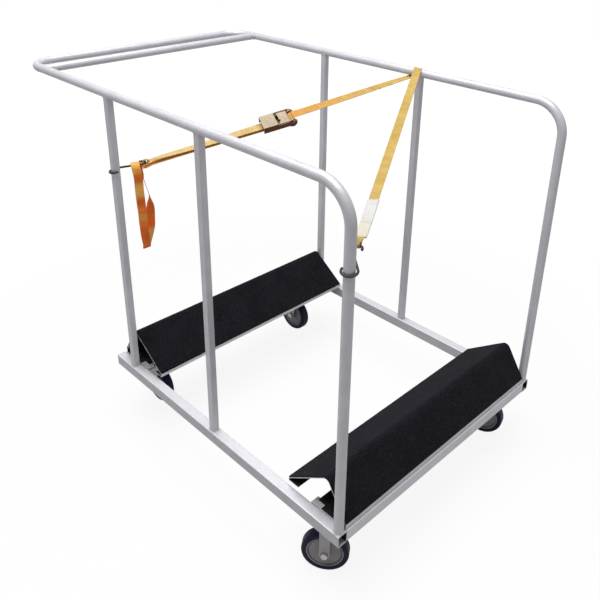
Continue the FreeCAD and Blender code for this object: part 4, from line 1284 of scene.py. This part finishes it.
@dataclass
class Strap:
    """Ratchet strap: two hooks, webbing over the far tube, ratchet and hanging tail."""

    palette: Palette
    tube_od: float = 25.4 * MM
    web: float = 25.0 * MM
    thick: float = 1.5 * MM
    wrap_gap: float = 0.3 * MM
    wrap_spread: float = 1.085
    wrap_start: float = 195.9 * MM
    wrap_end: float = 174.4 * MM
    wrap_from: float = -13.0
    wrap_to: float = 165.0
    tube_lean: Pair = (0.12, -0.1)
    sewn_end: float = 20.0 * MM
    front_straight: float = 150.0 * MM
    tube_near: float = 12.0 * MM
    tube_away: float = 14.0 * MM
    back_straight: float = 120.0 * MM
    head_straight: float = 50.0 * MM
    head_aim: float = 40.0 * MM
    throat: float = 17.2 * MM
    wire: float = 3.0 * MM
    gap: float = 0.3 * MM
    eye_reach: float = 85.4 * MM
    loop: float = 5.0 * MM
    loop_share: float = 0.36
    neck_share: float = 0.75
    front_height: float = 917.0 * MM
    rear_height: float = 874.0 * MM
    post_corner: float = 13.314 * MM
    spool: Vector = field(default_factory=lambda: Vector((0.012, 0.051, 0.984)))
    roll: float = math.radians(30.0)
    coil_back: float = 4.0 * MM
    coil_top: float = 11.3 * MM
    coil_inner: float = 7.0 * MM
    coil_outer: float = 9.6 * MM
    coil_spread: float = 1.05
    coil_turns: float = 2.5
    coil_web: float = 1.0 * MM
    coil_points: int = 12
    pin_reach: float = 66.0 * MM
    pin_loop: float = 4.3 * MM
    pin_gap: float = 6.2 * MM
    pin_straight: float = 60.0 * MM
    hook_straight: float = 50.0 * MM
    hook_neck: float = 18.0 * MM
    droop: float = 2.0 * MM
    tail_start: float = 14.0 * MM
    tail_under: float = 110.0 * MM
    floor_rest: float = 9.95 * MM
    sleeve_start: float = 112.0 * MM
    sleeve_reach: float = 145.0 * MM
    sleeve_web: float = 27.0 * MM
    sleeve_thick: float = 3.3 * MM
    sleeve_seam: float = 0.38
    stitch: float = 3.5 * MM
    stitch_lift: float = 0.78 * MM
    sleeve_lift: float = 1.62 * MM
    thread: Colour = (2.6 * MM, 0.7 * MM, 0.5 * MM)
    thread_rim: float = 0.2 * MM
    thread_smooth: float = 40.0

    HOOK_LOOP = ((1.9, 0.16), (1.0, 0.82), (0.0, 1.06), (-0.92, 0.78), (-1.12, 0.0), (-0.92, -0.78),
                 (0.0, -1.06), (1.0, -0.82), (1.9, -0.16))
    HOOK_SHARES = [0.50, 0.42, 0.36, 0.34, 0.34, 0.34, 0.36, 0.42, 0.50]
    PIN_LOOP = ((1.4, 0.12), (0.9, 0.85), (0.0, 1.07), (-0.95, 0.8), (-1.12, 0.0), (-0.95, -0.8),
                (0.0, -1.07), (0.9, -0.85), (1.4, -0.12))
    WRAP_TURNS = (10.0, 60.0, 110.0, 160.0)
    FIXED_TWIST = (1.0, 0.8, 0.5, 0.15, 0.0, 0.0)
    SLEEVE_ENDS = (0.02, 0.98)
    PIN_BARS = (6.0 * MM, 34.0 * MM)
    PIN_SEAMS = (-9.6 * MM, 9.6 * MM)
    PIN_SEAM_START = 8.0 * MM
    SLEEVE_STITCHES = 7
    BAR_STITCHES = 6
    SEAM_STITCHES = 8
    HOOK_STITCHES = 3
    HOOK_BARS = (6.0 * MM, 11.0 * MM)
    SLEEVE_ALONG = (0.0, 0.1, 0.35, 0.65, 0.9, 1.0)
    SLEEVE_SHARES = [0.90, 0.96, 0.99, 1.02, 1.03, 1.0]
    TAIL = ((84, -6, -15, Lay.LEAN), (64, -17, -8, Lay.FLAT), (55, -12, 3, Lay.FLAT),
            (55, 1, 7, Lay.FLAT), (55, 14, 4, Lay.FLAT), (56, 20, -6, Lay.FLAT),
            (58, 20, -18, Lay.FLAT), (60, 23, -38, Lay.FLAT), (60, 17, -58, Lay.FLAT),
            (60, 22, -82, Lay.FLAT), (61, 20, -104, Lay.FLAT), (62, 16, -126, Lay.FLAT),
            (63, 22, -146, Lay.FLAT), (63, 15, -166, Lay.FLAT), (64, 20, -192, Lay.FLAT),
            (65, 16, -216, Lay.FLAT), (67, 12, -240, Lay.FOLD), (69, 9.5, -262, Lay.FOLD),
            (68.2, 7.7, -267, Lay.FOLD), (67.4, 5.9, -262, Lay.FOLD), (76, 0, -240, Lay.FOLD),
            (87, -7, -208, Lay.FLAT), (89, -11, -174, Lay.FLAT), (91, -13, -144, Lay.LEAN),
            (93, -14, -120, Lay.EDGE), (86, -14, -94, Lay.EDGE), (80, -14, -66, Lay.EDGE),
            (74, -9, -45, Lay.EDGE), (66, 0, -26, Lay.LEAN), (60, 7, -4, Lay.FLAT))

    def __post_init__(self) -> None:
        """Work out the places on the frame that the strap hangs between."""
        tube_low, tube_high = boxed("far_side_tube")
        self.tube = Vector((0.0, (tube_low.y + tube_high.y) / 2.0, tube_high.z - self.tube_od / 2.0))
        end_post = boxed("near_side_tube")[1].x - self.tube_od / 2.0
        near = middle("near_rear_post")
        self.wrap_radius = self.tube_od / 2.0 + self.wrap_gap + self.thick / 2.0
        front_post = Vector((end_post, near.y, self.front_height))
        self.front_dir = (self.on_tube(self.wrap_from) - front_post).normalized()
        self.front_side = (Vector((1.0, 0.0, 0.0)) - self.front_dir * self.front_dir.x).normalized()
        eye_in = self.throat - self.wire - self.tube_od / 2.0 - self.gap
        self.front_eye = front_post + self.front_dir * eye_in
        rear_post = Vector((near.x, near.y, self.rear_height))
        self.run = (rear_post - self.spool).normalized()
        self.flat_side = Vector((-self.run.y, self.run.x, 0.0)).normalized()
        self.flat_up = self.run.cross(self.flat_side)
        self.side = self.rolled(1.0)
        self.up = self.run.cross(self.side)
        self.rear_eye = rear_post - self.run * (self.throat - self.wire - self.gap - self.post_corner)
        self.level = Vector((-self.run.x, -self.run.y, 0.0)).normalized()

    def rolled(self, share: float) -> Vector:
        """Direction across the webbing, from level at the rear hook to the ratchet's lean."""
        angle = self.roll * share
        return self.flat_side * math.cos(angle) - self.flat_up * math.sin(angle)

    def on_tube(self, degrees: float, spread: float = 1.0) -> Vector:
        """Place on the far tube's wrap.

        Args:
            degrees: Angle from the top towards the outside.
            spread: Factor on the wrap's radius.

        Returns:
            The point.
        """
        share = (degrees - self.wrap_from) / (self.wrap_to - self.wrap_from)
        angle = math.radians(degrees)
        x = self.wrap_start + share * (self.wrap_end - self.wrap_start)
        out = Vector((0.0, math.sin(angle), math.cos(angle)))
        return Vector((x, self.tube.y, self.tube.z)) + out * self.wrap_radius * spread

    def on_sleeve(self, share: float) -> Vector:
        """Place along the sleeve."""
        return self.front_eye + self.front_dir * (self.sleeve_start + self.sleeve_reach * share)

    def build(self) -> None:
        """Build all webbing, loops, the sleeve and the wound turns."""
        self.main_run()
        self.fixed_run()
        self.tail()
        self.wound_turns()

    def main_run(self) -> None:
        """Webbing from the front hook over the far tube and back to the ratchet."""
        start = self.front_eye + self.front_dir * (self.eye_reach + self.loop)
        meet = self.on_tube(self.wrap_from)
        around = [self.on_tube(angle, self.wrap_spread) for angle in self.WRAP_TURNS]
        leave = self.on_tube(self.wrap_to)
        head = self.spool - self.run * self.coil_back + self.up * self.coil_top
        back = (head - self.run * self.head_aim - leave).normalized()
        route = [start, start + self.front_dir * self.sewn_end,
                 start + self.front_dir * self.front_straight, meet - self.front_dir * self.front_straight,
                 meet - self.front_dir * self.tube_near, *around, leave + back * self.tube_away,
                 leave + back * self.back_straight, head - self.run * self.head_straight, head]
        onto_tube, off_tube = (Vector((1.0, lean, 0.0)) for lean in self.tube_lean)
        across = [*([self.front_side] * 4), onto_tube,
                  *([Vector((1.0, 0.0, 0.0))] * len(around)),
                  off_tube, off_tube.lerp(self.side, 0.5), self.side, self.side]
        shares = [self.loop_share, self.neck_share] + [1.0] * (len(route) - 2)
        band = Band("strap_main", route, across, self.web, self.thick, shares)
        piece = band.build()
        self.palette.dress(piece, "strap_webbing")
        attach(piece, "cart_frame")
        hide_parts("strap_front_run", "strap_tube_wrap", "strap_rear_run")
        extras = [self.sewn_loop("front_strap_loop", self.front_eye, self.front_dir, self.front_side),
                  self.sleeve(), self.sleeve_stitches()]
        LOG.info("%s laid, %.0f mm", piece.name, band.length / MM)

    def sewn_loop(self, label: str, eye: Vector, forward: Vector, side: Vector) -> Piece:
        """Folded loop of webbing in a hook's eye.

        Args:
            label: Name of the piece.
            eye: Hook's throat centre.
            forward: Direction of pull.
            side: Direction across the webbing.

        Returns:
            The loop piece.
        """
        centre = eye + forward * self.eye_reach
        up = side.cross(forward).normalized()
        ring = self.loop + self.thick / 2.0
        route = [centre + forward * (a * ring) + up * (b * ring) for a, b in self.HOOK_LOOP]
        piece = Band(label, route, [side] * len(route), self.web, self.thick, self.HOOK_SHARES).build()
        self.palette.dress(piece, "strap_webbing")
        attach(piece, "cart_frame")
        LOG.info("%s sewn", label)
        return piece

    def anchor_loop(self, pin: Vector) -> Piece:
        """Sewn loop of webbing round the ratchet's anchor pin.

        Args:
            pin: Middle of the pin.

        Returns:
            The loop piece.
        """
        ring = self.pin_loop + self.thick / 2.0
        route = [pin + self.run * (a * ring) + self.up * (b * ring) for a, b in self.PIN_LOOP]
        loop = Band("anchor_strap_loop", route, [self.side] * len(route), self.web, self.thick).build()
        self.palette.dress(loop, "fixed_webbing")
        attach(loop, "cart_frame")
        LOG.info("%s sewn", loop.name)
        return loop

    def sleeve(self) -> Piece:
        """Loose white sleeve on the front run.

        Returns:
            The sleeve piece.
        """
        route = [self.on_sleeve(share) for share in self.SLEEVE_ALONG]
        piece = Band("strap_sleeve_cloth", route, [self.front_side] * len(route), self.sleeve_web,
                     self.sleeve_thick, self.SLEEVE_SHARES).build()
        self.palette.dress(piece, "sleeve_fabric", "sleeve_cream")
        seam = self.on_sleeve(self.sleeve_seam)
        for face in piece.data.polygons:
            face.material_index = int((face.center - seam).dot(self.front_dir) < 0.0)
        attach(piece, "cart_frame")
        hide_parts("strap_sleeve")
        LOG.info("%s fitted", piece.name)
        return piece

    def fixed_run(self) -> None:
        """Webbing from the ratchet's anchor pin to the rear hook."""
        pin = self.spool + self.run * self.pin_reach
        start = pin + self.run * self.pin_gap
        last = self.rear_eye - self.run * (self.eye_reach + self.loop)
        route = [start, start + self.run * self.pin_straight,
                 (start + last) / 2.0 + Vector((0.0, 0.0, -self.droop)),
                 last - self.run * self.hook_straight, last - self.run * self.hook_neck, last]
        across = [self.rolled(share) for share in self.FIXED_TWIST]
        shares = [1.0, 1.0, 1.0, 1.0, self.neck_share, self.loop_share]
        band = Band("strap_fixed", route, across, self.web, self.thick, shares)
        piece = band.build()
        self.palette.dress(piece, "fixed_webbing")
        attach(piece, "cart_frame")
        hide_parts("strap_fixed_run")
        extras = [self.sewn_loop("rear_strap_loop", self.rear_eye, -self.run, self.flat_side),
                  self.anchor_loop(pin), self.fixed_stitches(start, last)]
        LOG.info("%s laid, %.0f mm", piece.name, band.length / MM)

    def tail(self) -> None:
        """Spare webbing under the fixed run, hung over the rear hook in a loop."""
        start = self.spool + self.run * self.tail_start - self.up * self.floor_rest
        under = self.rear_eye - self.run * self.tail_under - self.flat_up * self.floor_rest
        route = [start, start + self.run * self.pin_straight, under]
        across = [self.side, self.side, self.flat_side]
        for along, aside, height, lay in self.TAIL:
            route.append(self.rear_eye - self.run * (along * MM) + self.flat_side * (aside * MM)
                         + Vector((0.0, 0.0, height * MM)))
            across.append((self.level * lay.value[0] + self.flat_side * lay.value[1]).normalized())
        band = Band("strap_tail_loop", route, across, self.web, self.thick)
        piece = band.build()
        self.palette.dress(piece, "tail_webbing")
        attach(piece, "cart_frame")
        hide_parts("strap_tail")
        LOG.info("%s hung, %.0f mm", piece.name, band.length / MM)

    def stitch_rows(self, label: str, rows: list[tuple[Vector, Vector, Vector, int]]) -> Piece:
        """Rows of thread sewn through the webbing.

        Args:
            label: Name of the piece.
            rows: First stitch, direction to the next, face direction and count of each row.

        Returns:
            The stitches as one piece.
        """
        Bench.clear()
        bpy.ops.mesh.primitive_cube_add(size=1.0)
        thread = Bench.name(bpy.context.object, label + "_one")
        thread.scale = self.thread
        bpy.ops.object.transform_apply(location=True, rotation=True, scale=True)
        rim = thread.modifiers.new("rim", "BEVEL")
        rim.width = self.thread_rim
        rim.segments = 2
        Bench.settle(thread)
        made = []
        for first, along, face, count in rows:
            turn = Matrix((along, face.cross(along), face)).transposed().to_4x4()
            for index in range(count):
                move = Matrix.Translation(first + along * (self.stitch * index)) @ turn
                made.append(Bench.copy(thread, label, move))
        bpy.data.objects.remove(thread)
        piece = Bench.merge(made, label)
        Bench.smooth(piece, self.thread_smooth)
        self.palette.dress(piece, "stitch_thread")
        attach(piece, "cart_frame")
        LOG.info("%s sewn", label)
        return piece

    def half_row(self, count: int) -> float:
        """Distance from a row's first stitch to its middle."""
        return (count - 1) / 2.0 * self.stitch

    def sleeve_stitches(self) -> Piece:
        """Seams across the sleeve, on both faces.

        Returns:
            The stitches.
        """
        rows = []
        up = self.front_side.cross(self.front_dir).normalized()
        half_row = self.front_side * self.half_row(self.SLEEVE_STITCHES)
        for share in (self.SLEEVE_ENDS[0], self.sleeve_seam, self.SLEEVE_ENDS[1]):
            for face in (-up, up):
                first = self.on_sleeve(share) - half_row + face * self.sleeve_lift
                rows.append((first, self.front_side, face, self.SLEEVE_STITCHES))
        return self.stitch_rows("sleeve_stitches", rows)

    def fixed_stitches(self, start: Vector, last: Vector) -> Piece:
        """Sewn box next to the anchor pin, and bars next to the rear hook.

        Args:
            start: Webbing's end at the pin.
            last: Webbing's end at the hook.

        Returns:
            The stitches.
        """
        rows = []
        for sign in (-1.0, 1.0):
            face = self.up * sign
            lift = face * self.stitch_lift
            for reach in self.PIN_BARS:
                first = start + self.run * reach - self.side * self.half_row(self.BAR_STITCHES) + lift
                rows.append((first, self.side, face, self.BAR_STITCHES))
            for edge in self.PIN_SEAMS:
                first = start + self.run * self.PIN_SEAM_START + self.side * edge + lift
                rows.append((first, self.run, face, self.SEAM_STITCHES))
            level = self.flat_up * sign
            edge = level * self.stitch_lift - self.flat_side * self.half_row(self.HOOK_STITCHES)
            for reach in self.HOOK_BARS:
                rows.append((last - self.run * reach + edge, self.flat_side, level, self.HOOK_STITCHES))
        return self.stitch_rows("fixed_stitches", rows)

    def wound_turns(self) -> None:
        """Spiral of webbing on the ratchet's spool."""
        count = int(self.coil_turns * self.coil_points) + 1
        route = []
        for index in range(count):
            share = index / (count - 1)
            angle = math.tau * self.coil_turns * share
            radius = (self.coil_inner + (self.coil_outer - self.coil_inner) * share) * self.coil_spread
            route.append(self.spool + self.run * (radius * math.cos(angle))
                         + self.up * (radius * math.sin(angle)))
        piece = Band("wound_webbing", route, [self.side] * count, self.web, self.coil_web, steps=4).build()
        self.palette.dress(piece, "rear_webbing")
        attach(piece, "ratchet_spool")
        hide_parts("ratchet_webbing_coil")
        LOG.info("%s wound", piece.name)


@dataclass
class Welds:
    """Rippled beads of weld metal where tubes, posts and rails meet."""

    palette: Palette
    bead: float = 1.9 * MM
    ground: float = 0.7 * MM
    ripple: float = 0.16
    waves: int = 26
    steps: int = 120
    corners: int = 8
    tube: float = 12.7 * MM
    post: float = 10.0 * MM
    smooth: float = 60.0

    def ring(self, label: str, line: Callable[[float, float], Vector], size: float) -> Piece:
        """Bead along a closed line.

        Args:
            label: Name of the bead.
            line: Point on the line for the cosine and sine of an angle.
            size: Radius of the bead.

        Returns:
            The bead, about the line's own origin.
        """
        Bench.clear()
        bpy.ops.mesh.primitive_torus_add(major_segments=self.steps, minor_segments=self.corners,
                                         major_radius=1.0, minor_radius=0.1)
        piece = bpy.context.object
        angles = [math.tau * index / self.steps for index in range(self.steps)]
        places = [line(math.cos(angle), math.sin(angle)) for angle in angles]
        centre = sum(places, Vector()) / self.steps
        for vertex in piece.data.vertices:
            index, corner = divmod(vertex.index, self.corners)
            here = places[index]
            along = (places[(index + 1) % self.steps] - places[index - 1]).normalized()
            out = here - centre
            out = (out - along * out.dot(along)).normalized()
            turn = math.tau * corner / self.corners
            reach = size * (1.0 + self.ripple * math.sin(angles[index] * self.waves))
            vertex.co = here + (out * math.cos(turn) + along.cross(out) * math.sin(turn)) * reach
        Bench.outward(piece)
        Bench.smooth(piece, self.smooth)
        return Bench.name(piece, label)

    def squared(self, cosine: float, sine: float) -> Pair:
        """Point on the square post's outline in a direction."""
        reach = 1.0 / max(abs(cosine) / self.post, abs(sine) / self.post)
        return cosine * reach, sine * reach

    def post_foot(self, cosine: float, sine: float) -> Vector:
        """Line round the foot of a square post."""
        return Vector((*self.squared(cosine, sine), 0.0))

    def post_head(self, cosine: float, sine: float) -> Vector:
        """Line where a square post meets the tube above it."""
        x, y = self.squared(cosine, sine)
        return Vector((x, y, -math.sqrt(self.tube ** 2 - y ** 2)))

    def end_foot(self, cosine: float, sine: float) -> Vector:
        """Line round the foot of a round end post."""
        return Vector((self.tube * cosine, self.tube * sine, 0.0))

    def bar_end(self, cosine: float, sine: float) -> Vector:
        """Line where the cross bar meets a side tube."""
        return Vector((self.tube * cosine, -self.tube * abs(cosine), self.tube * sine))

    def handle_seam(self, cosine: float, sine: float) -> Vector:
        """Ground seam between the push handle and a side tube."""
        return Vector((0.0, self.tube * cosine, self.tube * sine))

    def build(self) -> None:
        """Lay every bead, join them and paint them with the frame."""
        rail_top = boxed("near_side_rail")[1].z
        bar = middle("handle_cross_bar")
        seam = boxed("near_side_tube")[0].x
        feet, heads, ends, bars, seams = [], [], [], [], []
        for side in ("near", "far"):
            tube_y = middle(side + "_side_tube").y
            tube_z = boxed(side + "_side_tube")[1].z - self.tube
            end_x = boxed(side + "_side_tube")[1].x - self.tube
            for row in ("_rear_post", "_middle_post"):
                x = middle(side + row).x
                feet.append((x, tube_y, rail_top))
                heads.append((x, tube_y, tube_z))
            ends.append((end_x, tube_y, rail_top))
            bars.append((bar.x, tube_y, tube_z))
            seams.append((seam, tube_y, tube_z))
        made = []
        kinds = (("post_foot_weld", self.post_foot, self.bead, feet),
                 ("post_head_weld", self.post_head, self.bead, heads),
                 ("end_post_weld", self.end_foot, self.bead, ends),
                 ("cross_bar_weld", self.bar_end, self.bead, bars),
                 ("handle_seam_weld", self.handle_seam, self.ground, seams))
        for label, line, size, places in kinds:
            first = self.ring(label, line, size)
            for place in places:
                mirror = -1.0 if places is bars and place[1] < 0.0 else 1.0
                move = Matrix.Translation(place) @ Matrix.Scale(mirror, 4, (0.0, 1.0, 0.0))
                bead = Bench.copy(first, label, move)
                Bench.outward(bead)
                made.append(bead)
            bpy.data.objects.remove(first)
        piece = Bench.merge(made, "frame_welds")
        self.palette.dress(piece, "frame_paint")
        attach(piece, "cart_frame")
        LOG.info("%d weld beads laid", len(made))


@dataclass(frozen=True)
class Lamp:
    """Soft square lamp."""

    label: str
    at: Colour
    aim: Colour
    size: float
    watts: float

    def hang(self) -> None:
        """Add the lamp to the scene."""
        data = bpy.data.lights.new(self.label, "AREA")
        data.shape = "SQUARE"
        data.size = self.size
        data.energy = self.watts
        holder = bpy.data.objects.new(self.label, data)
        holder.location = self.at
        aim = Vector(self.aim) - Vector(self.at)
        holder.rotation_euler = aim.to_track_quat("-Z", "Y").to_euler()
        bpy.context.scene.collection.objects.link(holder)


@dataclass
class Studio:
    """Floor, light and camera."""

    palette: Palette
    place: Colour = (1.51125, -1.3447, 1.6104)
    right: Colour = (0.70282, 0.71119, 0.01603)
    down: Colour = (0.30046, -0.27635, -0.91288)
    forward: Colour = (-0.6448, 0.6464, -0.40791)
    focal: float = 710.01
    centre: Pair = (314.335, 205.982)
    image: float = 600.0
    sensor: float = 36.0
    view_end: float = 50.0
    floor: float = 14.0
    ambient: float = 0.20
    gloss: float = 0.6

    LAMPS = (Lamp("overhead", (0.0, -0.4, 3.9), (0.1, 0.0, 0.4), 3.2, 168.0),
             Lamp("left_fill", (-1.8, -3.0, 2.2), (0.0, 0.0, 0.6), 2.0, 2.5),
             Lamp("front_fill", (3.2, -0.6, 1.8), (0.0, 0.0, 0.6), 2.0, 2.0))

    def camera(self) -> None:
        """Put the camera where the photograph was taken."""
        data = bpy.data.cameras.new("photo_camera")
        data.sensor_width = self.sensor
        data.lens = self.focal / self.image * self.sensor
        data.shift_x = (self.image / 2.0 - self.centre[0]) / self.image
        data.shift_y = (self.centre[1] - self.image / 2.0) / self.image
        data.clip_end = self.view_end
        holder = bpy.data.objects.new("photo_camera", data)
        axes = (Vector(self.right), -Vector(self.down), -Vector(self.forward))
        turn = Matrix([[axis[row] for axis in axes] for row in range(3)]).to_4x4()
        holder.matrix_world = Matrix.Translation(self.place) @ turn
        bpy.context.scene.collection.objects.link(holder)
        bpy.context.scene.camera = holder

    def world(self) -> None:
        """Even white surround, plain to the camera and in reflections."""
        world = bpy.data.worlds.new("studio")
        world.use_nodes = True
        bpy.context.scene.world = world
        work = Wiring(world.node_tree)
        strength = work.band(work.surround(self.gloss), 0.0, 1.0, self.ambient, 1.0)
        work.fit(world.node_tree.nodes["Background"], Color=(1.0, 1.0, 1.0), Strength=strength)

    def build(self) -> None:
        """Build the stage."""
        Bench.clear()
        bpy.ops.mesh.primitive_plane_add(size=self.floor)
        floor = Bench.name(bpy.context.object, "studio_floor")
        self.palette.dress(floor, "studio_floor")
        for lamp in self.LAMPS:
            lamp.hang()
        self.world()
        self.camera()
        bpy.context.scene.view_settings.view_transform = "Standard"


@dataclass
class Cart:
    """The cart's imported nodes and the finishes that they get."""

    frame: dict
    palette: Palette

    RAILS = (("near_side_rail", Axis.X), ("far_side_rail", Axis.X),
             ("front_end_rail", Axis.Y), ("rear_end_rail", Axis.Y))
    # Rails along X get a darker copy of the frame paint and rails along Y a lighter one, as painted shade and
    # light; the second number is the share of painted light on the tops.
    RAIL_SHADING = {Axis.X: (0.85, 0.6), Axis.Y: (1.16, 0.0)}
    PLATED = ("ratchet_base", "ratchet_handle", "ratchet_spool", "ratchet_drive_pawl",
              "ratchet_lock_pawl", "ratchet_anchor_pin")

    def own_finishes(self) -> dict[str, str]:
        """Build the finishes that need a node's own place.

        Returns:
            Finish by node.
        """
        own = {"ratchet_wheels": "ratchet_copper"}
        for end in ("front", "rear"):
            paint = FoldedSheet(end + "_sheet", Palette.SHEET, metal=0.18, rough=0.38, grime_and_shade=0.25,
                                middle_x=middle(end + "_saddle").x)
            own[end + "_saddle"] = self.palette.add(paint)
        for node, along in self.RAILS:
            low, high = boxed(node)
            # The rail's painted shade factor and its share of painted top light.
            shade, crown = self.RAIL_SHADING[along]
            rail = HollowSection(node + "_paint", tuple(shade * part for part in Palette.FRAME),
                                 metal=0.22, rough=0.36, grime_and_shade=0.5, along=along, crown=crown,
                                 mid=tuple((low + high) / 2.0), half=tuple((high - low) / 2.0))
            own[node] = self.palette.add(rail)
        plate = SidedZinc("ratchet_plate", *Palette.PLATE, rough=0.46, metal=0.45, shine=0.25,
                          side=tuple(Strap(self.palette).side))
        return own | dict.fromkeys(self.PLATED, self.palette.add(plate))

    def dress_nodes(self) -> None:
        """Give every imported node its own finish, or that of its material slot."""
        own = self.own_finishes()
        for entry in self.frame["record"]["subparts"]:
            finish = own.get(entry["node"], entry["material_slot"])
            self.palette.dress(self.frame["nodes"][entry["node"]], finish)
            LOG.info("%s dressed in %s", entry["node"], finish)

    def carpets(self) -> None:
        """Lay both carpets."""
        for end, inward in (("front", -1.0), ("rear", 1.0)):
            low, high = boxed(end + "_end_rail")
            SaddleCarpet(self.palette, end, (low.x + high.x) / 2.0, inward, high.z).build()


def main() -> None:
    """Build the scene in order."""
    logging.basicConfig(level=logging.INFO, format="%(message)s")
    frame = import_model()
    palette = Palette()
    Studio(palette).build()
    cart = Cart(frame, palette)
    cart.dress_nodes()
    Strap(palette).build()
    cart.carpets()
    Welds(palette).build()
    Bench.clear()


if __name__ == "__main__":
    main()
